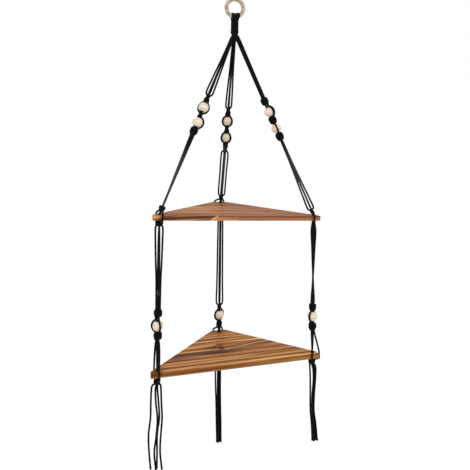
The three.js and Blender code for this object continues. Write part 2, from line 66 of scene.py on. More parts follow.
class Slot(str, Enum):
    """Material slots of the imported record."""

    RING = "ring_wood"
    BEAD = "bead_wood"
    CORD = "black_cord"


class LegName(Enum):
    """The three legs, by the corner that each holds."""

    LEFT = "left"
    RIGHT = "right"
    BACK = "back"


# Sizes that several pieces share, in millimetres


@dataclass(frozen=True)
class CordSizes:
    """The cord and the play round it."""

    diameter: float = 4.9
    core_pitch: float = 4.8
    seat_gap: float = 0.4
    swing_gap: float = 0.9
    edge_play: float = 0.3

    @property
    def radius(self) -> float:
        """Half the cord's diameter."""
        return self.diameter / 2


@dataclass(frozen=True)
class KnotSizes:
    """How the outer strands lie in a row of square knots.

    Across the narrow side their middle lines keep to a waist and flare towards both ends. Through
    it they swell from a share of the full reach at the ends.
    """

    across: float = 2.9
    waist: float = 0.9
    flare: float = 1.1
    flare_power: float = 1.6
    through: float = 8.4
    end_share: float = 0.5
    swell_lean: float = 0.85
    swell_power: float = 0.6
    plump: float = 2.2
    swing: float = 98.0
    bar_pitch: float = 4.7
    step_turn: float = 24.0
    least_steps: int = 8


@dataclass(frozen=True)
class BoardSizes:
    """The two boards and where the ring hangs over them."""

    length: float = 420.0
    thickness: float = 12.0
    tip_cut: float = 13.0
    back_cut: float = 38.0
    axis_to_front: float = 74.0
    ring_centre_z: float = -17.0
    ring_to_upper: float = 513.5
    upper_to_lower: float = 355.0
    upper_tilt: float = 2.6

    @property
    def virtual_tip(self) -> float:
        """Half the front edge as it would be without its cut corners."""
        return self.length / 2 + self.tip_cut

    @property
    def depth(self) -> float:
        """From the front edge to the blunt back tip."""
        return self.virtual_tip - self.back_cut / 2


CORD = CordSizes()
KNOT = KnotSizes()
BOARD = BoardSizes()
BEAD_RADIUS = 12.5
CROWN_DROP = 76.0
CROWN_LEAD = 14.0
SWAY_CUT = 3.6
VIEW_TURN = 16.0
FRONT_CORNER = 45.0
ROUTE_STEP = 0.8
LEAST_STEP = 1e-4
LEAST_PARTS = 4
MERGE_DISTANCE = 1e-6


# Geometry of the suspension


class Stretch:
    """A straight stretch of the suspension, with directions across it seen from the front."""

    def __init__(self, top: Vector, bottom: Vector) -> None:
        """Sets the stretch up between two points.

        Args:
            top: Upper end, in millimetres.
            bottom: Lower end, in millimetres.
        """
        self.top = top.copy()
        self.down = (bottom - top).normalized()
        self.length = (bottom - top).length
        front = Vector((0, -1, 0)) + self.down * self.down.y
        self.front = front.normalized()
        self.right = self.front.cross(self.down)

    def at(self, along: float, out: float = 0.0, turn: float = 0.0) -> Vector:
        """Finds a point by its place along the stretch and round it.

        Args:
            along: Distance from the top.
            out: Distance from the line.
            turn: Direction in degrees, 0 to the right and 90 to the front.

        Returns:
            The point in millimetres.
        """
        angle = math.radians(turn)
        across = self.right * math.cos(angle) + self.front * math.sin(angle)
        return self.top + self.down * along + across * out

    def aside(self, along: float, across: float, through: float, turn: float) -> Vector:
        """Finds a point by its offsets across and through a plane that is turned by some degrees."""
        beside = self.at(along, through, turn + QUARTER_TURN)
        return self.at(along, across, turn) + beside - self.at(along)

    def heading(self, direction: Vector) -> float:
        """Gives the turn in degrees at which a direction leaves the stretch."""
        return math.degrees(math.atan2(direction.dot(self.front), direction.dot(self.right)))


@dataclass(frozen=True)
class Corner:
    """The cord hole of one corner, on both boards, and the places where strands cross the edges."""

    side: int
    inset: float

    @property
    def hole(self) -> tuple[float, float]:
        """Gives the middle of the hole.

        Returns:
            Its place to the right of and behind the middle of the front edge.
        """
        half = math.radians(FRONT_CORNER / 2)
        if self.side == 0:
            return 0.0, BOARD.depth - self.inset
        along = BOARD.virtual_tip - self.inset * math.cos(half)
        return self.side * along, self.inset * math.sin(half)

    def crossings(self, reaches: tuple[float, float], round_end: bool) -> list[tuple[Vector, Vector]]:
        """Gives where the two outer strands cross the board's edges.

        Args:
            reaches: Distance of each crossing from the corner's point.
            round_end: Whether the second strand goes round the cut end.

        Returns:
            A point on the edge and the outward direction there, for each strand.
        """
        first, second = reaches
        slant = math.sqrt(0.5)
        if self.side == 0:
            back = Vector((0, 1, 0))
            return [(Vector((-first, BOARD.depth, 0)), back), (Vector((second, BOARD.depth, 0)), back)]
        front = (Vector((self.side * (BOARD.virtual_tip - first), 0, 0)), Vector((0, -1, 0)))
        if round_end:
            end = Vector((self.side * BOARD.length / 2, BOARD.tip_cut / 2, 0))
            return [front, (end, Vector((self.side, 0, 0)))]
        edge = Vector((self.side * (BOARD.virtual_tip - second * slant), second * slant, 0))
        return [front, (edge, Vector((self.side * slant, slant, 0)))]


class BoardPlace:
    """Where one board hangs."""

    def __init__(self, drop: float, tilt: float) -> None:
        """Sets the top face's drop under the ring's centre and the tilt, right end lower."""
        place = Vector((0, -BOARD.axis_to_front, BOARD.ring_centre_z - drop))
        self.matrix = Matrix.Translation(place) @ Matrix.Rotation(math.radians(tilt), 4, "Y")

    def point(self, x: float, y: float, z: float) -> Vector:
        """Turns a point of the board into a point of the shelf."""
        return self.matrix @ Vector((x, y, z))

    def over_edge(self, crossing: tuple[Vector, Vector], above: float, below: float) -> list[Vector]:
        """Gives the middle line of a strand that goes down over an edge.

        Args:
            crossing: Point on the edge and its outward direction.
            above: Height over the top face at which the strand turns down.
            below: Depth under the lower face at which it turns in again.

        Returns:
            Three points from above the board to below it.
        """
        place, outward = crossing
        reach = CORD.radius + CORD.seat_gap + CORD.edge_play
        spot = place + outward * reach
        heights = (above, -BOARD.thickness / 2, -BOARD.thickness - below)
        return [self.point(spot.x, spot.y, height) for height in heights]


def smooth_route(points: list[Vector], step: float) -> list[Vector]:
    """Runs a smooth line through points and divides it evenly.

    Args:
        points: Points to pass through, in millimetres.
        step: Distance between the returned points.

    Returns:
        Evenly spaced points from the first to the last.
    """
    knots = [0.0]
    for before, after in zip(points, points[1:]):
        knots.append(knots[-1] + math.sqrt(max((after - before).length, LEAST_STEP)))
    lead = points[0] * 2 - points[1]
    trail = points[-1] * 2 - points[-2]
    line = [lead, *points, trail]
    times = [2 * knots[0] - knots[1], *knots, 2 * knots[-1] - knots[-2]]
    dense = [points[0].copy()]
    for k in range(1, len(line) - 2):
        parts = max(LEAST_PARTS, int((line[k + 1] - line[k]).length / ROUTE_STEP))
        for part in range(1, parts + 1):
            moment = times[k] + (times[k + 1] - times[k]) * part / parts
            dense.append(pass_through(line[k - 1 : k + 3], times[k - 1 : k + 3], moment))
    return even_steps(dense, step)


def pass_through(points: list[Vector], times: list[float], moment: float) -> Vector:
    """Finds a point of the smooth line between the second and third of four points.

    Args:
        points: Four neighbouring points.
        times: Their moments.
        moment: The moment asked for.

    Returns:
        The point at that moment.
    """
    layer = list(points)
    for level in (1, 2, 3):
        layer = [
            layer[k].lerp(layer[k + 1], share(moment, *span_of(times, k, level)))
            for k in range(len(layer) - 1)
        ]
    return layer[0]


def span_of(times: list[float], index: int, level: int) -> tuple[float, float]:
    """Gives the moments between which one blend of the smooth line runs.

    Args:
        times: Moments of the four points.
        index: Place of the blend in its layer.
        level: 1 to 3, from the outermost blends to the last.

    Returns:
        First and last moment.
    """
    if level == 2:
        return times[index], times[index + 2]
    if level == 1:
        return times[index], times[index + 1]
    return times[1], times[2]


def share(value: float, low: float, high: float) -> float:
    """Gives how far a value lies between two others, as a share."""
    return (value - low) / (high - low)


def even_steps(points: list[Vector], step: float) -> list[Vector]:
    """Divides a polyline evenly.

    Args:
        points: Points of the polyline.
        step: Wanted distance between the returned points.

    Returns:
        Evenly spaced points on the polyline, both ends among them.
    """
    lengths = [0.0]
    for before, after in zip(points, points[1:]):
        lengths.append(lengths[-1] + (after - before).length)
    count = max(2, round(lengths[-1] / step))
    even = []
    segment = 0
    for k in range(count + 1):
        goal = lengths[-1] * k / count
        while segment < len(points) - 2 and lengths[segment + 1] < goal:
            segment += 1
        span = lengths[segment + 1] - lengths[segment]
        fraction = 0.0 if span == 0 else (goal - lengths[segment]) / span
        even.append(points[segment].lerp(points[segment + 1], fraction))
    return even


def route_length(points: list[Vector]) -> float:
    """Adds up the length of a polyline."""
    return sum((after - before).length for before, after in zip(points, points[1:]))


def nearest_turn(turn: float, goal: float, period: float = FULL_TURN) -> float:
    """Gives the turn that is the same but for whole periods and lies nearest a goal."""
    return turn + period * round((goal - turn) / period)


@dataclass(frozen=True)
class KnotForm:
    """Where a knot sits, half its length, and the turn of the plane in which it is narrow."""

    at: float
    half: float
    turn: float


@dataclass(frozen=True)
class Knot:
    """A row of square knots: each outer strand goes to and fro over one face of the core pair."""

    stretch: Stretch
    form: KnotForm
    arrive: tuple[float, float]
    leave: tuple[float, float]

    @property
    def run(self) -> float:
        """Half the way that the strands' middle lines travel down the knot."""
        return self.form.half + KNOT.plump - CORD.radius

    def face(self, index: int) -> float:
        """Gives the turn of the face over which a strand goes.

        Args:
            index: Which of the two outer strands.

        Returns:
            The turn in degrees.
        """
        away = nearest_turn(self.arrive[0] - self.form.turn, 0.0)
        first = self.form.turn if abs(away) <= QUARTER_TURN else self.form.turn + HALF_TURN
        return first + HALF_TURN * index

    def phase(self, index: int, turn: float) -> float:
        """Gives the place in the to-and-fro, in degrees, at which a strand lies at a turn."""
        away = nearest_turn(turn - self.face(index), 0.0) / KNOT.swing
        return math.degrees(math.acos(max(-1.0, min(1.0, away))))

    def phases(self, index: int) -> tuple[float, float]:
        """Gives where a strand's to-and-fro starts and ends, at about one bar to a diameter.

        Args:
            index: Which of the two outer strands.

        Returns:
            First and last place in the to-and-fro, in degrees.
        """
        start = self.phase(index, self.arrive[index])
        goal = start + HALF_TURN * 2 * self.form.half / KNOT.bar_pitch
        last = self.phase(index, self.leave[index])
        ends = [nearest_turn(sign * last, goal) for sign in (1, -1)]
        return start, min(ends, key=lambda end: abs(end - goal))

    def path(self, index: int) -> list[Vector]:
        """Gives the middle line of one outer strand in the knot.

        Args:
            index: Which of the two outer strands.

        Returns:
            Points from the knot's top to its bottom.
        """
        start, end = self.phases(index)
        steps = max(KNOT.least_steps, round((end - start) / KNOT.step_turn))
        points = []
        for k in range(steps + 1):
            part = k / steps
            phase = math.radians(start + (end - start) * part)
            away = KNOT.swing * math.cos(phase)
            swell = math.sin(math.pi * part**KNOT.swell_lean) ** KNOT.swell_power
            flare = abs(2 * part - 1) ** KNOT.flare_power
            across = KNOT.across * (KNOT.waist + KNOT.flare * flare)
            through = KNOT.through * (KNOT.end_share + (1 - KNOT.end_share) * swell)
            relative = math.radians(away)
            out = 1 / math.hypot(math.cos(relative) / across, math.sin(relative) / through)
            along = self.form.at - self.run + 2 * self.run * part
            points.append(self.stretch.at(along, out, self.face(index) + away))
        return points


# Meshes


@dataclass(frozen=True)
class RopeForm:
    """The lay of the twisted cord, three plies wound round each other, and its cut ends.

    A cut end opens over its last few millimetres, by a share of the radius.
    """

    plies: int = 3
    points_per_ply: int = 4
    lay_length: float = 13.0
    groove: float = 0.13
    shoulder: float = 0.03
    step: float = 1.1
    open_length: float = 5.0
    open_share: float = 0.12
    open_peak: float = 0.62
    map_scale: float = 100.0

    def section(self) -> list[tuple[float, float]]:
        """Gives the outline of the cord's cut.

        Returns:
            Angle in radians and radius as a share, for each point.
        """
        dips = (0.0, self.shoulder, self.groove, self.shoulder)
        count = self.plies * self.points_per_ply
        return [
            (2 * math.pi * k / count, 1.0 - dips[k % self.points_per_ply])
            for k in range(count)
        ]


ROPE = RopeForm()


class Cord:
    """One cord along a route, made as a twisted solid in as many lengths as bodies hold it."""

    def __init__(self, points: list[Vector], radius: float = CORD.radius) -> None:
        """Lays the cord.

        Args:
            points: Points that the cord passes through, in millimetres.
            radius: Half its diameter.
        """
        self.line = smooth_route(points, ROPE.step)
        self.radius = radius
        self.frames = self.carry_frames()

    def carry_frames(self) -> list[tuple[Vector, Vector]]:
        """Carries a pair of cross directions along the cord without turning them.

        Returns:
            Two directions square to the line, for each of its points.
        """
        line = self.line
        tangent = (line[1] - line[0]).normalized()
        side = tangent.orthogonal().normalized()
        frames = []
        for k in range(len(line)):
            ahead = line[min(k + 1, len(line) - 1)]
            behind = line[max(k - 1, 0)]
            tangent = (ahead - behind).normalized()
            side = (side - tangent * side.dot(tangent)).normalized()
            frames.append((side, tangent.cross(side)))
        return frames

    def rings(self, first: int, last: int, cut_end: bool) -> tuple[list[Vector], list[float]]:
        """Gives the twisted outline at every step of a length.

        Args:
            first: Index of the line's point where the length starts.
            last: Index where it ends.
            cut_end: Whether its end is a cut, slightly open end.

        Returns:
            The outlines' points, ring after ring, and how much cord lies before each ring, in metres.
        """
        section = ROPE.section()
        travelled = route_length(self.line[: first + 1])
        verts: list[Vector] = []
        along: list[float] = []
        for k in range(first, last + 1):
            if k > first:
                travelled += (self.line[k] - self.line[k - 1]).length
            left = (last - k) * ROPE.step
            swell = 1.0
            if cut_end and left < ROPE.open_length:
                opened = math.sin(math.pi * (1 - left / ROPE.open_length) * ROPE.open_peak)
                swell = 1.0 + ROPE.open_share * opened
            side, other = self.frames[k]
            twist = 2 * math.pi * travelled / ROPE.lay_length
            for angle, reach in section:
                out = self.radius * reach * swell
                offset = side * math.cos(angle + twist) + other * math.sin(angle + twist)
                verts.append((self.line[k] + offset * out) * MM)
            along.append(travelled * MM)
        return verts, along

    def build(
        self, name: str, first: int = 0, last: int | None = None, cut_end: bool = False
    ) -> bpy.types.Object:
        """Makes a length of the cord as a twisted solid.

        Args:
            name: Name of the new piece.
            first: Index of the line's point where the length starts.
            last: Index where it ends, or None for the cord's end.
            cut_end: Whether its end shows as a cut, slightly open end.

        Returns:
            The new object, with its place in its mesh.
        """
        last = len(self.line) - 1 if last is None else last
        verts, along = self.rings(first, last, cut_end)
        count = ROPE.plies * ROPE.points_per_ply
        mesh = bpy.data.meshes.new(name)
        mesh.from_pydata(verts, [], tube_faces(len(along), count))
        self.unroll(mesh, along, count)
        return show(name, mesh)

    def unroll(self, mesh: bpy.types.Mesh, along: list[float], count: int) -> None:
        """Gives the mesh a map that follows the plies: round the cord, and along it.

        Args:
            mesh: The cord's mesh.
            along: Length of the cord at each ring, in metres.
            count: Points in a ring.
        """
        layer = mesh.uv_layers.new(name="lay")
        for polygon in mesh.polygons:
            indices = list(polygon.vertices)
            columns = {index % count for index in indices}
            wraps = columns == {0, count - 1}
            for loop, index in zip(polygon.loop_indices, indices):
                turn = index % count
                turn = count if wraps and turn == 0 else turn
                layer.data[loop].uv = (turn / count, along[index // count] * ROPE.map_scale)


def tube_faces(rings: int, count: int) -> list[tuple[int, ...]]:
    """Gives the faces of a closed tube whose points lie ring after ring.

    Args:
        rings: How many rings there are.
        count: Points in a ring.

    Returns:
        The sides and both ends.
    """
    faces: list[tuple[int, ...]] = []
    for ring in range(rings - 1):
        for k in range(count):
            here = ring * count + k
            beside = ring * count + (k + 1) % count
            faces.append((here, beside, beside + count, here + count))
    faces.append(tuple(reversed(range(count))))
    faces.append(tuple((rings - 1) * count + k for k in range(count)))
    return faces


def show(name: str, mesh: bpy.types.Mesh) -> bpy.types.Object:
    """Puts a finished mesh in the scene as a smooth piece.

    Args:
        name: Name of the new piece.
        mesh: Its mesh.

    Returns:
        The new object.
    """
    mesh.polygons.foreach_set("use_smooth", [True] * len(mesh.polygons))
    piece = bpy.data.objects.new(name, mesh)
    bpy.context.scene.collection.objects.link(piece)
    return piece


def new_piece(name: str, shape: bmesh.types.BMesh) -> bpy.types.Object:
    """Turns a finished shape into a piece.

    Args:
        name: Name of the new piece.
        shape: The shape, in metres. It is freed.

    Returns:
        The new object, with its place in its mesh.
    """
    bmesh.ops.remove_doubles(shape, verts=shape.verts, dist=MERGE_DISTANCE)
    bmesh.ops.recalc_face_normals(shape, faces=shape.faces)
    mesh = bpy.data.meshes.new(name)
    shape.to_mesh(mesh)
    shape.free()
    return show(name, mesh)


def spin_round(shape: bmesh.types.BMesh, outline: list, centre: Vector, axis: tuple, steps: int) -> None:
    """Turns an outline once round an axis.

    Args:
        shape: The shape that holds the outline.
        outline: Its points and edges.
        centre: A point of the axis, in metres.
        axis: Direction of the axis.
        steps: Facets in the full turn.
    """
    bmesh.ops.spin(
        shape,
        geom=outline,
        cent=centre,
        axis=axis,
        angle=2 * math.pi,
        steps=steps,
        use_merge=True,
    )


def finish_piece(
    piece: bpy.types.Object,
    material: bpy.types.Material,
    body: str,
    nodes: tuple[str, ...],
) -> None:
    """Gives a piece its material and slot, hangs it on a body and hides the solids under it.

    Args:
        piece: The piece.
        material: Its material.
        body: The body that carries it.
        nodes: The CAD nodes that it stands for.
    """
    piece.data.materials.clear()
    piece.data.materials.append(material)
    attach(piece, body)
    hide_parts(*nodes)


# Shader nodes


class Value:
    """A node socket that takes part in Python arithmetic."""

    def __init__(self, nodes: "Nodes", socket: bpy.types.NodeSocket) -> None:
        """Wraps a socket of a node tree."""
        self.nodes = nodes
        self.socket = socket

    def _join(self, operation: str, *values: "Value | float") -> "Value":
        """Adds one Math node."""
        return self.nodes.add("ShaderNodeMath", {"operation": operation}, dict(enumerate(values)))

    def __add__(self, other: "Value | float") -> "Value":
        """Adds."""
        return self._join("ADD", self, other)

    def __radd__(self, other: float) -> "Value":
        """Adds to a number."""
        return self._join("ADD", other, self)

    def __sub__(self, other: "Value | float") -> "Value":
        """Subtracts."""
        return self._join("SUBTRACT", self, other)

    def __rsub__(self, other: float) -> "Value":
        """Subtracts from a number."""
        return self._join("SUBTRACT", other, self)

    def __mul__(self, other: "Value | float") -> "Value":
        """Multiplies."""
        return self._join("MULTIPLY", self, other)

    def __rmul__(self, other: float) -> "Value":
        """Multiplies a number."""
        return self._join("MULTIPLY", other, self)

    def __truediv__(self, other: "Value | float") -> "Value":
        """Divides."""
        return self._join("DIVIDE", self, other)

    def __pow__(self, other: float) -> "Value":
        """Raises to a power."""
        return self._join("POWER", self, other)

    def absolute(self) -> "Value":
        """Drops the sign."""
        return self._join("ABSOLUTE", self)

    def larger(self, other: "Value | float") -> "Value":
        """Takes the larger of two values."""
        return self._join("MAXIMUM", self, other)


class Nodes:
    """The nodes of a material or of the world."""

    def __init__(self, tree: bpy.types.NodeTree) -> None:
        """Takes up a node tree."""
        self.tree = tree

    def add(
        self,
        kind: str,
        settings: dict[str, object] | None = None,
        inputs: dict[int | str, object] | None = None,
        output: int | str = 0,
    ) -> Value:
        """Adds a node.

        Args:
            kind: The node's type.
            settings: Its settings; the stops of a ramp are listed under "stops".
            inputs: Values or links of its sockets.
            output: The socket that is handed back.

        Returns:
            The chosen output.
        """
        node = self.tree.nodes.new(kind)
        for key, value in (settings or {}).items():
            if key == "stops":
                self.set_stops(node.color_ramp, value)
            else:
                setattr(node, key, value)
        for key, value in (inputs or {}).items():
            self.feed(node.inputs[key], value)
        return Value(self, node.outputs[output])

    def set_stops(self, ramp: bpy.types.ColorRamp, stops: list[tuple[float, tuple]]) -> None:
        """Sets the stops of a colour ramp.

        Args:
            ramp: The ramp.
            stops: Places and colours, in order.
        """
        while len(ramp.elements) < len(stops):
            ramp.elements.new(1.0)
        for element, (place, color) in zip(ramp.elements, stops):
            element.position = place
            element.color = (*color, 1.0)

    def feed(self, socket: bpy.types.NodeSocket, value: object) -> None:
        """Links a socket, or sets its number or colour.

        Args:
            socket: The socket.
            value: A value to link, a colour or a number.
        """
        if isinstance(value, Value):
            self.tree.links.new(value.socket, socket)
        elif isinstance(value, tuple) and socket.type == "RGBA":
            socket.default_value = (*value, 1.0)
        else:
            socket.default_value = value


class Graph(Nodes):
    """The node graph of one material, round its plain shader."""

    def __init__(self, name: str) -> None:
        """Starts a material.

        Args:
            name: Its name.
        """
        self.material = bpy.data.materials.new(name)
        self.material.use_nodes = True
        super().__init__(self.material.node_tree)
        self.shader = self.tree.nodes["Principled BSDF"]

    def ramp(self, factor: Value, stops: list[tuple[float, tuple]]) -> Value:
        """Colours a value by a ramp."""
        return self.add("ShaderNodeValToRGB", {"stops": stops}, {"Fac": factor})

    def axis(self, vector: Value, name: str) -> Value:
        """Takes one coordinate of a vector."""
        return self.add("ShaderNodeSeparateXYZ", {}, {"Vector": vector}, name)

    def mix(self, factor: Value | float, first: object, second: object) -> Value:
        """Mixes two colours."""
        settings = {"data_type": "RGBA", "clamp_factor": True}
        return self.add("ShaderNodeMix", settings, {0: factor, 6: first, 7: second}, 2)

    def noise(self, place: Value, scale: float, detail: float = 3.0, distortion: float = 0.0) -> Value:
        """Adds a noise pattern."""
        inputs = {"Vector": place, "Scale": scale, "Detail": detail, "Distortion": distortion}
        return self.add("ShaderNodeTexNoise", {}, inputs)

    def place(self, source: str, scale: tuple, turn: tuple = (0, 0, 0), shift: tuple = (0, 0, 0)) -> Value:
        """Gives a piece's own coordinates, turned, moved and scaled.

        Args:
            source: "Object" or "UV".
            scale: Scale of each direction.
            turn: Turn about each axis in degrees.
            shift: Offset of the pattern.

        Returns:
            The coordinates.
        """
        coordinates = self.add("ShaderNodeTexCoord", {}, {}, source)
        turned = tuple(math.radians(angle) for angle in turn)
        inputs = {"Vector": coordinates, "Location": shift, "Rotation": turned, "Scale": scale}
        return self.add("ShaderNodeMapping", {}, inputs)

    def bump(self, height: Value, strength: float, distance: float) -> Value:
        """Adds relief from a height."""
        inputs = {"Strength": strength, "Distance": distance, "Height": height}
        return self.add("ShaderNodeBump", {}, inputs)

    def finish(self, **inputs: object) -> bpy.types.Material:
        """Sets the shader's sockets.

        Args:
            inputs: Socket names with underscores for spaces, and their values or links.

        Returns:
            The finished material.
        """
        for key, value in inputs.items():
            self.feed(self.shader.inputs[key.replace("_", " ")], value)
        return self.material


# Finishes

SAME_SCALE = (1.0, 1.0, 1.0)


@dataclass(frozen=True)
class CordFinish:
    """Black twisted cotton with a dull sheen and loose fibres, lightened to grey by a painted sheen
    between two heights, where the slanted bundles run above the upper board.
    """

    dark: tuple = (0.002, 0.002, 0.0023)
    pale: tuple = (0.0065, 0.0065, 0.007)
    # Painted sheen: a grey mixed into the cord between these heights in metres, standing for light caught
    # by the slanted bundles.
    painted_sheen: tuple = (0.05, 0.052, 0.045)
    painted_sheen_heights: tuple = ((-0.515, 0.0), (-0.46, 1.0), (-0.4, 1.0), (-0.36, 0.0))
    painted_sheen_share: float = 0.35
    fibre_lay: tuple = (9.0, 4.0, 1.0)
    fibre_scale: float = 6.0
    fibre_detail: float = 4.0
    fibre_bend: float = 0.4
    fibre_color: float = 0.7
    fibre_height: float = 0.6
    fuzz_scale: float = 1400.0
    fuzz_detail: float = 2.0
    relief: float = 0.6
    relief_depth: float = 0.0004
    roughness: float = 0.8
    rough_change: float = 0.2
    sheen: float = 0.03
    sheen_roughness: float = 0.45
    gloss: float = 0.08

    def material(self) -> bpy.types.Material:
        """Builds the material.

        Returns:
            The finished material.
        """
        graph = Graph("black cotton cord")
        lay = graph.place("UV", self.fibre_lay)
        fibres = graph.noise(lay, self.fibre_scale, self.fibre_detail, self.fibre_bend)
        spot = graph.place("Object", SAME_SCALE)
        fuzz = graph.noise(spot, self.fuzz_scale, self.fuzz_detail)
        weave = fibres * self.fibre_color + fuzz * (1.0 - self.fibre_color)
        cord_color = graph.mix(weave, self.dark, self.pale)
        # Painted sheen: the band of heights where the grey is mixed in, and how strongly.
        stops = [(height + 1.0, (share_there,) * 3) for height, share_there in self.painted_sheen_heights]
        zone = graph.ramp(graph.axis(spot, "Z") + 1.0, stops)
        height = fibres * self.fibre_height + fuzz * (1.0 - self.fibre_height)
        return graph.finish(
            # Painted sheen: the grey is mixed over the cord's own colour inside that band.
            Base_Color=graph.mix(zone * (self.painted_sheen_share + fibres), cord_color, self.painted_sheen),
            Roughness=self.roughness + (fuzz - 0.5) * self.rough_change,
            Normal=graph.bump(height, self.relief, self.relief_depth),
            Sheen_Weight=self.sheen,
            Sheen_Roughness=self.sheen_roughness,
            Specular_IOR_Level=self.gloss,
        )


@dataclass(frozen=True)
class PaleWoodFinish:
    """Pale turned wood with fine growth lines."""

    name: str
    light: tuple
    dark: tuple
    band_scale: float
    turn: tuple = (0.0, 0.0, 0.0)
    shift: tuple = (0.0, 0.0, 0.0)
    roughness: float = 0.5
    rough_change: float = 0.15
    band_bend: float = 2.5
    band_detail: float = 2.0
    band_detail_scale: float = 1.2
    band_share: float = 0.35
    streak_lay: tuple = (0.12, 1.0, 1.0)
    streak_scale: float = 900.0
    streak_detail: float = 4.0
    streak_bend: float = 0.2
    streak_share: float = 0.4
    cloud_scale: float = 55.0
    cloud_detail: float = 2.0
    cloud_share: float = 0.25
    dark_below: float = 0.28
    light_above: float = 0.62
    relief: float = 0.25
    relief_depth: float = 0.0002
    gloss: float = 0.4

    def material(self) -> bpy.types.Material:
        """Builds the material.

        Returns:
            The finished material.
        """
        graph = Graph(self.name)
        place = graph.place("Object", SAME_SCALE, self.turn, self.shift)
        bands = {
            "Vector": place,
            "Scale": self.band_scale,
            "Distortion": self.band_bend,
            "Detail": self.band_detail,
            "Detail Scale": self.band_detail_scale,
        }
        lines = graph.add("ShaderNodeTexWave", {"wave_type": "RINGS", "rings_direction": "X"}, bands, 1)
        stretched = graph.place("Object", self.streak_lay, self.turn, self.shift)
        streaks = graph.noise(stretched, self.streak_scale, self.streak_detail, self.streak_bend)
        cloud = graph.noise(place, self.cloud_scale, self.cloud_detail)
        amount = lines * self.band_share + streaks * self.streak_share + cloud * self.cloud_share
        stops = [(self.dark_below, self.dark), (self.light_above, self.light)]
        return graph.finish(
            Base_Color=graph.ramp(amount, stops),
            Roughness=self.roughness + (streaks - 0.5) * self.rough_change,
            Normal=graph.bump(streaks, self.relief, self.relief_depth),
            Specular_IOR_Level=self.gloss,
        )


class Shade(Enum):
    """The colours that run through the glued-up boards."""

    PALE = (0.88, 0.49, 0.19)
    HONEY = (0.67, 0.31, 0.10)
    OCHRE = (0.51, 0.22, 0.058)
    ORANGE = (0.44, 0.16, 0.042)
    AMBER = (0.30, 0.11, 0.028)
    ROSE = (0.38, 0.15, 0.08)
    GREY = (0.14, 0.085, 0.047)
    GOLD = (0.34, 0.16, 0.036)
    BROWN = (0.165, 0.06, 0.024)
    DARK = (0.095, 0.032, 0.016)
    UMBER = (0.055, 0.02, 0.01)


@dataclass(frozen=True)
class Zone:
    """A length of a stave: its stripes, by their shares of the way to the back, and its start."""

    stripes: dict[float, Shade]
    start: float = 0.0
    blend: float = 0.09
    seam: float = 0.0


@dataclass(frozen=True)
class StaveLook:
    """The zones of one stave, left to right, the lean of its figure, and a burl if it has one."""

    zones: tuple[Zone, ...]
    lean: float = 0.0
    burl: tuple[float, float, float] | None = None


def stave_look(*zones: Zone, lean: float = 0.0, burl: tuple | None = None) -> StaveLook:
    """Puts the look of a stave together from its zones, left to right."""
    return StaveLook(zones, lean, burl)


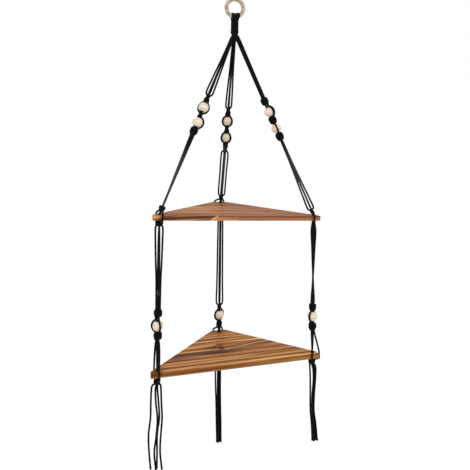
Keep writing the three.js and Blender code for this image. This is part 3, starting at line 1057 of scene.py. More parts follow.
@dataclass(frozen=True)
class StaveFinish:
    """One oiled stave: stripes of figure that wander along the grain, and fine dark pores."""

    name: str
    look: StaveLook
    front: float
    width: float
    top: float
    fall: float
    seed: float
    tilt: float = 0.6
    wander: float = 0.16
    joint_slant: float = 1.6
    joint_wander: float = 0.6
    seam_depth: float = 0.006
    seam_inset: float = 0.05
    seed_shift: tuple = (1.7, 0.9, 0.4)
    grain_detail: float = 3.0
    first_place: float = -1.0
    last_place: float = 1.5
    wave_lay: tuple = (0.1, 1.0, 1.0)
    wave_scale: float = 75.0
    wave_bend: float = 0.3
    line_lay: tuple = (0.03, 1.0, 1.0)
    line_scale: float = 210.0
    pore_scale: float = 1500.0
    dark_below: float = 0.47
    pale_above: float = 0.56
    contrast: float = 3.0
    pore_above: float = 0.42
    pore_share: float = 0.6
    burl_stretch: float = 0.4
    burl_share: float = 1.6
    roughness: float = 0.6
    rough_change: float = 0.16
    relief: float = 0.12
    relief_depth: float = 0.0002
    gloss: float = 0.04

    def grain(self, graph: Graph, lay: tuple, scale: float, distortion: float = 0.0) -> Value:
        """Adds a noise that runs along the stave, by its lay, fineness and bend."""
        place = graph.place("Object", lay, shift=tuple(self.seed * step for step in self.seed_shift))
        return graph.noise(place, scale, self.grain_detail, distortion)

    def striped(self, graph: Graph, across: Value, zone: Zone) -> Value:
        """Colours a zone by the share of the way from the stave's front to its back.

        Args:
            graph: The material's graph.
            across: The share.
            zone: The zone, with the places and colours of its stripes.

        Returns:
            The colour.
        """
        reach = self.last_place - self.first_place
        stops = [
            ((place - self.first_place) / reach, shade.value)
            for place, shade in zone.stripes.items()
        ]
        return graph.ramp((across - self.first_place) / reach, stops)

    def seamed(self, graph: Graph, color: Value, along: Value, inward: Value, zone: Zone) -> Value:
        """Draws the pale glue line of a joint on the front of the stave.

        Args:
            graph: The material's graph.
            color: The colour so far.
            along: Place along the joint's blend, 0.5 at its middle.
            inward: Distance behind the front edge, in metres.
            zone: The zone that starts at the joint.

        Returns:
            The colour with the line.
        """
        beside = (along - 0.5).absolute()
        inside = inward / self.seam_depth - self.seam_inset
        pale = (0.5 - beside) * 2.0 * zone.seam
        return graph.mix(pale - inside, color, Shade.PALE.value)

    def material(self) -> bpy.types.Material:
        """Builds the material.

        Returns:
            The finished material.
        """
        graph = Graph(self.name)
        look = self.look
        spot = graph.place("Object", SAME_SCALE)
        x, y, z = (graph.axis(spot, name) for name in "XYZ")
        depth = z - self.top + x * self.fall
        waves = self.grain(graph, self.wave_lay, self.wave_scale, self.wave_bend) - 0.5
        across = (y - self.front - x * look.lean + depth * self.tilt) / self.width
        across = across + waves * self.wander
        first, *others = look.zones
        color = self.striped(graph, across, first)
        for zone in others:
            start = (x - zone.start - depth * self.joint_slant) / zone.blend
            along = start + waves * self.joint_wander + 0.5
            color = graph.mix(along, color, self.striped(graph, across, zone))
            if zone.seam:
                color = self.seamed(graph, color, along, y - self.front, zone)
        if look.burl:
            place_x, place_y, reach = look.burl
            away = ((x - place_x) ** 2.0 + ((y - place_y) * self.burl_stretch) ** 2.0) ** 0.5
            color = graph.mix((1.0 - away / reach) * self.burl_share, color, Shade.DARK.value)
        lines = self.grain(graph, self.line_lay, self.line_scale)
        pores = self.grain(graph, self.line_lay, self.pore_scale)
        color = graph.mix((self.dark_below - lines) * self.contrast, color, Shade.UMBER.value)
        color = graph.mix((lines - self.pale_above) * self.contrast, color, Shade.PALE.value)
        color = graph.mix((pores - self.pore_above) * self.pore_share, color, Shade.DARK.value)
        return graph.finish(
            Base_Color=color,
            Roughness=self.roughness + (pores - 0.5) * self.rough_change,
            Normal=graph.bump(pores, self.relief, self.relief_depth),
            Specular_IOR_Level=self.gloss,
        )


# Sub-assemblies


@dataclass
class HangRing:
    """The turned wooden ring."""

    centre_z: float = BOARD.ring_centre_z
    radius: float = 22.0
    tube: float = 5.0
    around: int = 72
    across: int = 28

    def build(self) -> bpy.types.Object:
        """Turns the ring from its round section.

        Returns:
            The ring.
        """
        shape = bmesh.new()
        place = Matrix.Translation(Vector((self.radius, 0, self.centre_z)) * MM)
        section = bmesh.ops.create_circle(
            shape, segments=self.across, radius=self.tube * MM, matrix=place
        )
        edges = list({edge for vert in section["verts"] for edge in vert.link_edges})
        centre = Vector((0, 0, self.centre_z)) * MM
        spin_round(shape, edges + section["verts"], centre, (0, 1, 0), self.around)
        return new_piece("ring_turned", shape)

    def dress(self, piece: bpy.types.Object) -> None:
        """Gives the ring its wood and hangs it on its body.

        Args:
            piece: The ring.
        """
        finish = PaleWoodFinish(
            name="ring wood",
            light=(0.47, 0.385, 0.275),
            dark=(0.30, 0.225, 0.145),
            band_scale=30.0,
            turn=(0, 20, 35),
            roughness=0.45,
        )
        finish_piece(piece, finish.material(), Body.RING.value, ("hang_ring",))


@dataclass
class Bead:
    """A turned wooden bead on the core."""

    name: str
    node: str
    body: str
    centre: Vector
    down: Vector
    seed: int
    bore: float = 5.1
    ease: float = 0.6
    around: int = 44
    arcs: int = 18
    turn_steps: tuple = (37.0, 61.0, 83.0)
    shift_steps: tuple = (0.013, 0.007, 0.0)

    def build(self) -> bpy.types.Object:
        """Turns the bead from its half outline.

        Returns:
            The bead.
        """
        shape = bmesh.new()
        edge = math.asin((self.bore + self.ease) / BEAD_RADIUS)
        outline = [(self.bore, -math.cos(edge) * BEAD_RADIUS + self.ease)]
        for k in range(self.arcs + 1):
            angle = edge + (math.pi - 2 * edge) * k / self.arcs
            outline.append((BEAD_RADIUS * math.sin(angle), -BEAD_RADIUS * math.cos(angle)))
        outline.append((self.bore, math.cos(edge) * BEAD_RADIUS - self.ease))
        verts = [shape.verts.new(Vector((x, 0, z)) * MM) for x, z in outline]
        edges = [shape.edges.new(pair) for pair in zip(verts, verts[1:] + verts[:1])]
        spin_round(shape, verts + edges, Vector((0, 0, 0)), (0, 0, 1), self.around)
        turn = Vector((0, 0, -1)).rotation_difference(self.down).to_matrix().to_4x4()
        place = Matrix.Translation(self.centre * MM) @ turn
        bmesh.ops.transform(shape, matrix=place, verts=shape.verts)
        return new_piece(self.name, shape)

    def dress(self, piece: bpy.types.Object) -> None:
        """Gives the bead its wood, with the grain lying another way in each, and hangs it.

        Args:
            piece: The bead.
        """
        finish = PaleWoodFinish(
            name=f"bead wood {self.seed}",
            light=(0.80, 0.70, 0.55),
            dark=(0.66, 0.54, 0.39),
            band_scale=42.0,
            turn=tuple(step * self.seed % HALF_TURN for step in self.turn_steps),
            shift=tuple(step * self.seed for step in self.shift_steps),
        )
        finish_piece(piece, finish.material(), self.body, (self.node,))


Station = tuple[float, float, float, float]
Pair = tuple[float, float]


def flat_band(spreads: Pair, turns: Pair) -> tuple[Station, ...]:
    """Gives the stations of four strands side by side in a band that turns round its own line.

    Args:
        spreads: First and last spread of the outer strands.
        turns: First and last turn of the band.

    Returns:
        Five stations.
    """
    stations = []
    for part in (0, 0.25, 0.5, 0.75, 1):
        spread = spreads[0] + (spreads[1] - spreads[0]) * part
        turn = turns[0] + (turns[1] - turns[0]) * part
        stations.append((part, spread, turn, turn))
    return tuple(stations)


def across_from(turn: float) -> Pair:
    """Gives a turn and the one across from it."""
    return turn, turn + HALF_TURN


@dataclass(frozen=True)
class TasselForm:
    """The four loose ends: their length and how far aside each hangs at every stage.

    Each starts tucked into the knot, nearer the leg's line by a share.
    """

    length: float
    routes: tuple[tuple[float, ...], ...]
    turn: float = VIEW_TURN
    row_share: float = 0.55
    tuck: float = 5.0
    tuck_across: float = 0.5
    tuck_through: float = 0.6
    stages: tuple[float, ...] = (0, 0.02, 0.055, 0.2, 0.4, 0.6, 0.8, 1)


@dataclass(frozen=True)
class LegForm:
    """Places along one leg in millimetres, and turns of its strands in degrees.

    Each station of the open strands gives the share of the way, the spread of the outer strands,
    their turn and the turn of the core pair.
    """

    foot: float
    fan: tuple[Station, ...]
    slope_knots: tuple[KnotForm, ...]
    beads: Pair
    bead_turns: tuple[Pair, ...]
    bundle: tuple[Station, ...]
    board_knot: KnotForm
    under_upper: KnotForm
    drop: tuple[Station, ...]
    drop_knots: tuple[KnotForm, ...]
    third_bead: float
    upper_grips: Pair
    lower_grips: Pair
    under_lower: KnotForm
    tassel: TasselForm
    round_end: bool = False


LEG_FORMS = {
    LegName.LEFT: LegForm(
        foot=6.5,
        fan=((0, 3.1, 16, 94), (0.4, 4.9, 16, 86), (0.72, 7.2, 16, 76), (1, 7.7, 16, 74)),
        slope_knots=(KnotForm(168, 7, 16), KnotForm(215.5, 6.5, 16), KnotForm(258.5, 9, 106)),
        beads=(195.5, 235.5),
        bead_turns=((-14, 226), (10, -80), (77, 205)),
        bundle=flat_band((6.8, 6.6), (66, 104)),
        board_knot=KnotForm(15.5, 5, 56),
        under_upper=KnotForm(19.8, 5.8, 76),
        drop=(
            (0, 6.6, 16, 100),
            (0.025, 8.4, 16, 90),
            (0.2, 8.2, 16, 68),
            (0.4, 7.2, 16, 60),
            (0.65, 5.3, 16, 66),
            (1, 4.4, 16, 100),
        ),
        drop_knots=(KnotForm(210, 9.5, 106), KnotForm(262, 9, 106)),
        third_bead=239,
        upper_grips=(34, 37),
        lower_grips=(31, 36),
        under_lower=KnotForm(24.6, 4.6, 56),
        tassel=TasselForm(
            198.5,
            (
                (-6, -11, -12.8, -14, -14.4, -18.4, -16.7, -12.6),
                (-1.2, -2.2, -3.2, -2.2, 2.1, -0.1, -4.1, 0),
                (1.2, 0.6, 0.4, 3.1, 5.8, 1.3, 1.6, 1.4),
                (6, 8.4, 9.2, 10.4, 12.7, 10.1, 9.1, 13.6),
            ),
        ),
    ),
    LegName.RIGHT: LegForm(
        foot=7.5,
        fan=flat_band((5.6, 6.6), (66, 80)),
        slope_knots=(KnotForm(175.5, 9, 106), KnotForm(226.5, 9, 106), KnotForm(272, 9.5, 106)),
        beads=(204, 249),
        bead_turns=((60, -12), (100, -78), (146, -70)),
        bundle=(
            (0, 6.2, 92, 100),
            (0.3, 6.4, 84, 104),
            (0.6, 6.9, 64, 104),
            (0.85, 7.5, 42, 106),
            (1, 7.5, 34, 106),
        ),
        board_knot=KnotForm(11, 6, 16),
        under_upper=KnotForm(19.8, 7, 16),
        drop=(
            (0, 4.8, 56, 56),
            (0.08, 6.8, 62, 62),
            (0.28, 6.4, 82, 82),
            (0.47, 6.2, 97, 92),
            (0.75, 6.6, 122, 122),
            (1, 6.4, 146, 146),
        ),
        drop_knots=(KnotForm(211.5, 8.5, 90), KnotForm(260, 9, 106)),
        third_bead=234,
        upper_grips=(31, 31),
        lower_grips=(33, 0),
        round_end=True,
        under_lower=KnotForm(22, 5.2, 80),
        tassel=TasselForm(
            194.0,
            (
                (-5, -5.4, -5, -3.6, -3.2, -2.4, 1.2, 3.3),
                (-1, 0.5, 2.4, 3.9, 1.5, 1.8, 5.2, 7.2),
                (1.2, 3, 5.4, 5.5, 3.4, 3, 8, 11.5),
                (5, 8, 9.6, 9.3, 7, 6.6, 11.8, 15.8),
            ),
        ),
    ),
    LegName.BACK: LegForm(
        foot=3,
        fan=((0, 3.1, 16, 96), (0.48, 4.8, 12, 100), (0.8, 6.8, 12, 96), (1, 7, 16, 90)),
        slope_knots=(KnotForm(189.5, 7, 16), KnotForm(240, 7, 16), KnotForm(297, 7, 28)),
        beads=(218.5, 264),
        bead_turns=((49, 163), (49, 163), (-30, 160)),
        bundle=(
            (0, 6.8, 16, 66),
            (0.03, 8.4, 16, 66),
            (0.5, 8.6, 16, 66),
            (0.96, 8.4, 16, 66),
            (1, 7.8, 16, 66),
        ),
        board_knot=KnotForm(16, 6, 30),
        under_upper=KnotForm(19.8, 7, 16),
        drop=(
            (0, 5, 16, 84),
            (0.1, 6, 16, 84),
            (0.35, 6.7, 16, 80),
            (0.6, 7.1, 16, 74),
            (0.8, 7.6, 16, 76),
            (1, 7.7, 16, 90),
        ),
        drop_knots=(KnotForm(266, 7, 16), KnotForm(314.5, 7, 60)),
        third_bead=288,
        upper_grips=(12.5, 12.5),
        lower_grips=(12.5, 12.5),
        under_lower=KnotForm(21, 6, 16),
        tassel=TasselForm(
            275.0,
            (
                (-4.6, -6.5, -7.6, -8.5, -8.1, -5.8, -4.1, -2.3),
                (-1, -1.6, -2, -2, -2.2, -1.8, -0.2, 1.5),
                (1, 1.4, 1.6, 1.6, 1.6, 2.2, 3.6, 5),
                (4.8, 5.4, 5.4, 5.2, 5.2, 6.2, 7.9, 8.9),
            ),
        ),
    ),
}

CORNERS = {
    LegName.LEFT: Corner(side=-1, inset=31),
    LegName.RIGHT: Corner(side=1, inset=29),
    LegName.BACK: Corner(side=0, inset=12),
}
FIRST_SEEDS = {LegName.LEFT: 1, LegName.RIGHT: 4, LegName.BACK: 7}
UPPER_NODES = ("crown_cords", "bead_cords_1", "bead_cords_2", "leg_cords", "upper_grip")
DROP_NODES = ("drop_cords", "bead_cords_3")
CROWN_TUCK = ((-8, 0.55), (-2, 0.8), (5, 1.0))
CORE_TUCK = (-8, 0, 7)
BEAD_LATITUDES = (-62, -38, 0, 38, 62)
KNOT_CORE = (-0.6, 0.6)
UPPER_EDGE = {"above": 1.6, "below": 2}
LOWER_EDGE = {"above": 2, "below": 2}


@dataclass(frozen=True)
class StrandEnds:
    """Where the strands' lengths start and end inside the knots, in millimetres along their way.

    The outer strands lie at the foot's distance from the leg's line there.
    """

    foot: float = 1.5
    upper_outer: float = 4.0
    upper_core: float = 5.0
    drop: float = 1.0
    last_outer: float = 1.0
    last_core: float = 3.0
    hole: float = 1.0


ENDS = StrandEnds()


class CoreLine:
    """The middle line of one core strand, which turns no further than it must on its way."""

    def __init__(self, index: int) -> None:
        """Starts a line.

        Args:
            index: Which of the two core strands.
        """
        self.side = HALF_TURN * index
        self.turn = 0.0
        self.points: list[Vector] = []

    def add(self, stretch: Stretch, along: float, turn: float, out: float = CORD.core_pitch / 2) -> None:
        """Adds a point beside a stretch's line, with the pair lying at a turn."""
        self.turn = nearest_turn(turn, self.turn, HALF_TURN)
        self.points.append(stretch.at(along, out, self.turn + self.side))

    def through_knot(self, stretch: Stretch, form: KnotForm) -> None:
        """Adds the way through a knot, where the pair lies across its narrow side."""
        for share_of_half in KNOT_CORE:
            self.add(stretch, form.at + share_of_half * form.half, form.turn + QUARTER_TURN)


class Leg:
    """One of the three legs: four strands with their eight knots, three beads and four loose ends."""

    def __init__(self, name: LegName, upper: BoardPlace, lower: BoardPlace) -> None:
        """Works out the places of the leg's knots and beads.

        Args:
            name: Which corner the leg holds.
            upper: Place of the upper board.
            lower: Place of the lower board.
        """
        self.name = name.value
        self.form = LEG_FORMS[name]
        self.corner = CORNERS[name]
        self.first_seed = FIRST_SEEDS[name]
        self.upper = upper
        self.lower = lower
        form = self.form
        crown = Vector((0, 0, BOARD.ring_centre_z - CROWN_DROP))
        x, y = self.corner.hole
        self.upper_hole = upper.point(x, y, 0)
        self.lower_hole = lower.point(x, y, 0)
        aside = self.upper_hole - crown
        aside.z = 0
        self.slope = Stretch(crown + aside.normalized() * form.foot, self.upper_hole)
        under_upper = self.upper_hole - Vector((0, 0, form.under_upper.at))
        under_lower = self.lower_hole - Vector((0, 0, form.under_lower.at))
        self.drop = Stretch(under_upper, self.lower_hole)
        self.tail = Stretch(under_lower, under_lower - Vector((0, 0, 1)))
        self.upper_crossings = self.corner.crossings(form.upper_grips, False)
        self.lower_crossings = self.corner.crossings(form.lower_grips, form.round_end)
        self.knots = self.tie_knots()

    def headings(self, stretch: Stretch, board: BoardPlace, crossings: list) -> Pair:
        """Gives the turns at which the outer strands leave towards the board's edges.

        Args:
            stretch: Stretch that carries the knot.
            board: The board.
            crossings: Where the strands cross its edges.

        Returns:
            One turn for each strand.
        """
        x, y = self.corner.hole
        hole = board.point(x, y, 0)
        turns = []
        for crossing in crossings:
            aside = board.over_edge(crossing, 0, 0)[0] - hole
            aside.z = 0
            turns.append(stretch.heading(aside))
        return turns[0], turns[1]

    def tie_knots(self) -> list[Knot]:
        """Ties the leg's eight knots, from the crown down.

        Returns:
            The knots.
        """
        form = self.form
        slope, drop, tail = self.slope, self.drop, self.tail
        beads = form.bead_turns
        first, second, third = form.slope_knots
        sixth, seventh = form.drop_knots
        fourth = replace(form.board_knot, at=slope.length - form.board_knot.at)
        fifth = replace(form.under_upper, at=0.0)
        eighth = replace(form.under_lower, at=0.0)
        over_upper = self.headings(slope, self.upper, self.upper_crossings)
        under_upper = self.headings(drop, self.upper, self.upper_crossings)
        over_lower = self.headings(drop, self.lower, self.lower_crossings)
        under_lower = self.headings(tail, self.lower, self.lower_crossings)
        return [
            Knot(slope, first, across_from(form.fan[-1][2]), beads[0]),
            Knot(slope, second, beads[0], beads[1]),
            Knot(slope, third, beads[1], across_from(form.bundle[0][2])),
            Knot(slope, fourth, across_from(form.bundle[-1][2]), over_upper),
            Knot(drop, fifth, under_upper, across_from(form.drop[0][2])),
            Knot(drop, sixth, across_from(form.drop[-1][2]), beads[2]),
            Knot(drop, seventh, beads[2], over_lower),
            Knot(tail, eighth, under_lower, across_from(form.tassel.turn)),
        ]

    def past_bead(self, stretch: Stretch, place: float, turn: float) -> list[Vector]:
        """Gives the middle line of an outer strand beside a bead.

        Args:
            stretch: Stretch that carries the bead.
            place: The bead's place along it.
            turn: Side on which the strand passes.

        Returns:
            Points from above the bead to below it.
        """
        reach = BEAD_RADIUS + CORD.radius + CORD.seat_gap / 2
        points = []
        for latitude in BEAD_LATITUDES:
            angle = math.radians(latitude)
            along = place + reach * math.sin(angle)
            points.append(stretch.at(along, reach * math.cos(angle), turn))
        return points

    def span(self, start: float, knot: Knot, stations: tuple[Station, ...]) -> list[tuple]:
        """Gives each station's place between a start and a knot, its spread and its two turns."""
        end = knot.form.at - knot.form.half - CORD.radius
        return [(start + (end - start) * part, *rest) for part, *rest in stations]

    def outer_span(self, start: float, knot: Knot, stations: tuple, index: int) -> list[Vector]:
        """Gives an outer strand's middle line through stations.

        Args:
            start: Where the stations begin along the knot's stretch.
            knot: The knot to which they lead.
            stations: The stations.
            index: Which of the two outer strands.

        Returns:
            Its points.
        """
        side = HALF_TURN * index
        placed = self.span(start, knot, stations)
        return [knot.stretch.at(along, spread, turn + side) for along, spread, turn, _ in placed]

    def core_span(self, line: CoreLine, start: float, knot: Knot, stations: tuple) -> None:
        """Leads a core strand through stations and the knot under them.

        Args:
            line: The strand's line so far.
            start: Where the stations begin along the knot's stretch.
            knot: The knot to which they lead.
            stations: The stations.
        """
        for along, _, _, core_turn in self.span(start, knot, stations):
            line.add(knot.stretch, along, core_turn)
        line.through_knot(knot.stretch, knot.form)

    def below(self, knot: Knot) -> float:
        """Gives the place just under a knot, along its stretch."""
        return knot.form.at + knot.form.half + 2 * CORD.seat_gap

    def upper_outer(self, index: int) -> Cord:
        """Lays an outer strand from the crown to the knot under the upper board.

        Args:
            index: Which of the two outer strands.

        Returns:
            The cord.
        """
        form, slope, knots = self.form, self.slope, self.knots
        side = HALF_TURN * index
        spread, turn = form.fan[0][1:3]
        return Cord(
            [
                *(slope.at(along, spread * part, turn + side) for along, part in CROWN_TUCK),
                *self.outer_span(CROWN_LEAD, knots[0], form.fan, index),
                *knots[0].path(index),
                *self.past_bead(slope, form.beads[0], form.bead_turns[0][index]),
                *knots[1].path(index),
                *self.past_bead(slope, form.beads[1], form.bead_turns[1][index]),
                *knots[2].path(index),
                *self.outer_span(self.below(knots[2]), knots[3], form.bundle, index),
                *knots[3].path(index),
                *self.upper.over_edge(self.upper_crossings[index], **UPPER_EDGE),
                *knots[4].path(index),
                self.drop.at(ENDS.upper_outer, ENDS.foot, form.drop[0][2] + side),
            ]
        )

    def upper_core(self, index: int) -> Cord:
        """Lays a core strand from the crown through the beads and the upper board.

        Args:
            index: Which of the two core strands.

        Returns:
            The cord.
        """
        form, slope, knots = self.form, self.slope, self.knots
        hole = Stretch(self.upper_hole, self.upper_hole - Vector((0, 0, 1)))
        line = CoreLine(index)
        turn = form.fan[0][3]
        for along in CORE_TUCK:
            line.add(slope, along, turn)
        self.core_span(line, CROWN_LEAD, knots[0], form.fan)
        for bead, knot in zip(form.beads, knots[1:3]):
            line.add(slope, bead, VIEW_TURN)
            line.through_knot(slope, knot.form)
        self.core_span(line, self.below(knots[2]), knots[3], form.bundle)
        line.add(hole, ENDS.hole, form.board_knot.turn)
        line.add(hole, BOARD.thickness, form.board_knot.turn)
        line.add(self.drop, ENDS.upper_core, form.under_upper.turn + QUARTER_TURN)
        return Cord(line.points)

    def drop_outer(self, index: int) -> Cord:
        """Lays an outer strand from under the upper board to the knot under the lower one.

        Args:
            index: Which of the two outer strands.

        Returns:
            The cord.
        """
        form, drop, knots = self.form, self.drop, self.knots
        side = HALF_TURN * index
        return Cord(
            [
                drop.at(ENDS.drop, ENDS.foot, form.drop[0][2] + side),
                *self.outer_span(knots[4].form.half, knots[5], form.drop, index),
                *knots[5].path(index),
                *self.past_bead(drop, form.third_bead, form.bead_turns[2][index]),
                *knots[6].path(index),
                *self.lower.over_edge(self.lower_crossings[index], **LOWER_EDGE),
                *knots[7].path(index),
                self.tail.at(knots[7].run + ENDS.last_outer, ENDS.foot, form.tassel.turn + side),
            ]
        )

    def drop_core(self, index: int) -> Cord:
        """Lays a core strand between the boards, through the third bead and the lower board.

        Args:
            index: Which of the two core strands.

        Returns:
            The cord.
        """
        form, drop, knots = self.form, self.drop, self.knots
        line = CoreLine(index)
        line.add(drop, ENDS.drop, form.drop[0][3])
        self.core_span(line, knots[4].form.half, knots[5], form.drop)
        line.add(drop, form.third_bead, VIEW_TURN)
        line.through_knot(drop, knots[6].form)
        line.add(drop, drop.length, form.drop_knots[1].turn)
        line.add(drop, drop.length + BOARD.thickness, form.drop_knots[1].turn)
        line.add(self.tail, ENDS.last_core, form.under_lower.turn + QUARTER_TURN)
        return Cord(line.points)

    def build(self, material: bpy.types.Material) -> float:
        """Makes the leg's cords and beads, dresses them and hangs them on their bodies.

        Args:
            material: The cord's material.

        Returns:
            Metres of cord in the leg, without its loose ends.
        """
        used = 0.0
        for index in (0, 1):
            for kind, cord in (("outer", self.upper_outer(index)), ("core", self.upper_core(index))):
                used += route_length(cord.line) * MM
                piece = cord.build(f"{self.name}_upper_{kind}_{index + 1}")
                finish_piece(piece, material, Body.UPPER.value, self.nodes(*UPPER_NODES))
            for kind, cord in (("outer", self.drop_outer(index)), ("core", self.drop_core(index))):
                used += route_length(cord.line) * MM
                self.build_drop(cord, f"{kind}_{index + 1}", material)
        self.build_beads()
        self.build_tassel(material)
        return used

    def nodes(self, *names: str) -> tuple[str, ...]:
        """Gives the full names of CAD nodes of this leg."""
        return tuple(f"{self.name}_{name}" for name in names)

    def build_drop(self, cord: Cord, label: str, material: bpy.types.Material) -> None:
        """Makes a strand between the boards in two lengths, parted above the lower board.

        Args:
            cord: The strand.
            label: Its kind and number, for the pieces' names.
            material: The cord's material.
        """
        cut = self.lower_hole.z + SWAY_CUT - CORD.swing_gap
        split = next(k for k, point in enumerate(cord.line) if point.z <= cut)
        above = cord.build(f"{self.name}_drop_{label}", 0, split)
        below = cord.build(f"{self.name}_grip_{label}", split)
        finish_piece(above, material, f"{self.name}_drop", self.nodes(*DROP_NODES))
        finish_piece(below, material, Body.LOWER.value, self.nodes("lower_grip"))

    def build_beads(self) -> None:
        """Makes the leg's three beads."""
        name, form = self.name, self.form
        places = (
            (self.slope, form.beads[0], "upper"),
            (self.slope, form.beads[1], "middle"),
            (self.drop, form.third_bead, "lower"),
        )
        for k, (stretch, along, word) in enumerate(places):
            bead = Bead(
                name=f"{name}_{word}_bead_turned",
                node=f"{name}_bead_{k + 1}",
                body=f"{name}_{word}_bead",
                centre=stretch.at(along),
                down=stretch.down,
                seed=self.first_seed + k,
            )
            bead.dress(bead.build())

    def build_tassel(self, material: bpy.types.Material) -> None:
        """Makes the four loose ends under the last knot.

        Args:
            material: The cord's material.
        """
        tassel = self.form.tassel
        pair = CORD.core_pitch * tassel.row_share
        top = self.form.under_lower.half + CORD.swing_gap
        for k, offsets in enumerate(tassel.routes):
            through = (0, pair, -pair, 0)[k]
            tucked = (offsets[0] * tassel.tuck_across, through * tassel.tuck_through)
            points = [self.tail.aside(top - tassel.tuck, *tucked, tassel.turn)]
            for stage, across in zip(tassel.stages, offsets):
                along = top + tassel.length * stage
                points.append(self.tail.aside(along, across, through, tassel.turn))
            cord = Cord(points)
            piece = cord.build(f"{self.name}_loose_end_{k + 1}", cut_end=True)
            nodes = self.nodes(f"tassel_{k + 1}")
            finish_piece(piece, material, f"{self.name}_tassel", nodes)
            tuple(cord.line[0] * MM)
            route_length(cord.line) * MM
            [tuple(point * MM) for point in cord.line[::3] + [cord.line[-1]]]


@dataclass
class Crown:
    """Six cords folded over the ring, drawn into a column and crossed in a knot."""

    ring: HangRing
    loops: int = 6
    loop_pitch: float = 3.5
    loop_shift: float = 1.4
    loop_lean: float = 0.35
    ring_play: float = -0.8
    row_pitch: float = 4.3
    columns: tuple = (-1.5, -0.5, -0.5, 0.5, 0.5, 1.5)
    middle_shift: float = 1.0
    middle_depth: float = 0.12
    stages: tuple = ((35.0, 0.95), (40.0, 1.0), (56.0, 1.0), (62.5, 1.08), (66.0, 0.8))
    crossing: tuple = ((0.35, 0.7, 3.0), (0.3, 0.5, -1.0))
    wrap_turn: float = 500.0
    wrap_radius: float = 4.6
    wrap_swell: float = 0.8
    wrap_tuck: float = 2.2
    wrap_rise: float = 6.0
    wrap_run: float = 11.0
    wrap_steps: int = 20

    def loop_cord(self, index: int) -> Cord:
        """Lays one folded cord over the ring and down both faces of the column.

        Args:
            index: Which of the folded cords, from the left.

        Returns:
            The cord.
        """
        offset = (index - (self.loops - 1) / 2) * self.loop_pitch + self.loop_shift
        lean = offset / self.ring.radius
        centre_z = self.ring.centre_z
        low = centre_z - self.ring.radius * math.cos(lean)
        tube = Vector((self.ring.radius * math.sin(lean), 0, low))
        inward = Vector((-math.sin(lean) * self.loop_lean, 0, 1)).normalized()
        reach = self.ring.tube + self.ring_play + CORD.radius
        over = [
            tube
            + inward * (reach * math.cos(math.radians(angle)))
            + Vector((0, reach * math.sin(math.radians(angle)), 0))
            for angle in range(-90, 91, 30)
        ]
        front = self.strand_down(index, -1)
        back = self.strand_down(index, 1)
        return Cord([*reversed(front), *over, *back])

    def strand_down(self, index: int, face: int) -> list[Vector]:
        """Gives one half of a folded cord in the column, down into the crown knot.

        Args:
            index: Which of the folded cords.
            face: -1 for the front half, 1 for the back half.

        Returns:
            Points from the column's top down.
        """
        column = self.columns[index]
        middle = index in (1, 4)
        shift = self.middle_shift if (face > 0 and middle) else 0.0
        x = (column + math.copysign(shift, column)) * self.row_pitch
        y = face * self.row_pitch * (self.middle_depth if middle else 1.0)
        ring_z = self.ring.centre_z
        points = [Vector((x * scale, y * scale, ring_z - drop)) for drop, scale in self.stages]
        cross = -1 if index % 2 == 0 else 1
        for across, through, rise in self.crossing:
            place = (x * across * cross, y * through, ring_z - CROWN_DROP + rise)
            points.append(Vector(place))
        return points

    def build(self, material: bpy.types.Material) -> float:
        """Makes the crown's cords and its knot.

        Args:
            material: The cord's material.

        Returns:
            Metres of cord folded over the ring, without the knot's wraps.
        """
        used = 0.0
        for index in range(self.loops):
            cord = self.loop_cord(index)
            used += route_length(cord.line) * MM
            piece = cord.build(f"crown_cord_{index + 1}")
            finish_piece(piece, material, Body.CROWN.value, ("crown_column",))
        line = Stretch(
            Vector((0, 0, self.ring.centre_z)), Vector((0, 0, self.ring.centre_z - CROWN_DROP))
        )
        for index in (0, 1):
            piece = Cord(self.wrap(line, index)).build(f"crown_wrap_{index + 1}")
            finish_piece(piece, material, Body.CROWN_KNOT.value, ("crown_knot",))
        return used

    def wrap(self, line: Stretch, index: int) -> list[Vector]:
        """Gives the middle line of a strand wound round the crown's crossing.

        Args:
            line: The column's line.
            index: Which of the two strands.

        Returns:
            Points from top to bottom.
        """
        sense = 1 if index == 0 else -1
        points = []
        for k in range(self.wrap_steps + 1):
            part = k / self.wrap_steps
            angle = VIEW_TURN + HALF_TURN * index + sense * self.wrap_turn * part
            tuck = self.wrap_tuck if k in (0, self.wrap_steps) else 0.0
            out = self.wrap_radius + self.wrap_swell * math.sin(math.pi * part) - tuck
            points.append(line.at(CROWN_DROP - self.wrap_rise + self.wrap_run * part, out, angle))
        return points


@dataclass
class Board:
    """One glued-up board, whose staves are dressed where they lie."""

    name: str
    looks: dict[str, StaveLook]
    top: float
    fall: float
    seed: float
    seed_step: float = 0.37
    staves: int = 5

    def dress(self) -> None:
        """Gives every stave its own piece of wood."""
        width = BOARD.depth / self.staves
        for k, (stave, look) in enumerate(self.looks.items()):
            front = -BOARD.axis_to_front + width * (int(stave[0]) - 1)
            finish = StaveFinish(
                name=f"{self.name} {stave} wood",
                look=look,
                front=front * MM,
                width=width * MM,
                top=self.top * MM,
                fall=self.fall,
                seed=self.seed + self.seed_step * k,
            )
            material = finish.material()
            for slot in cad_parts[f"{self.name}_stave_{stave}"].material_slots:
                slot.material = material


PALE, HONEY, OCHRE, ORANGE, AMBER, ROSE, GREY, GOLD, BROWN, DARK, UMBER = Shade

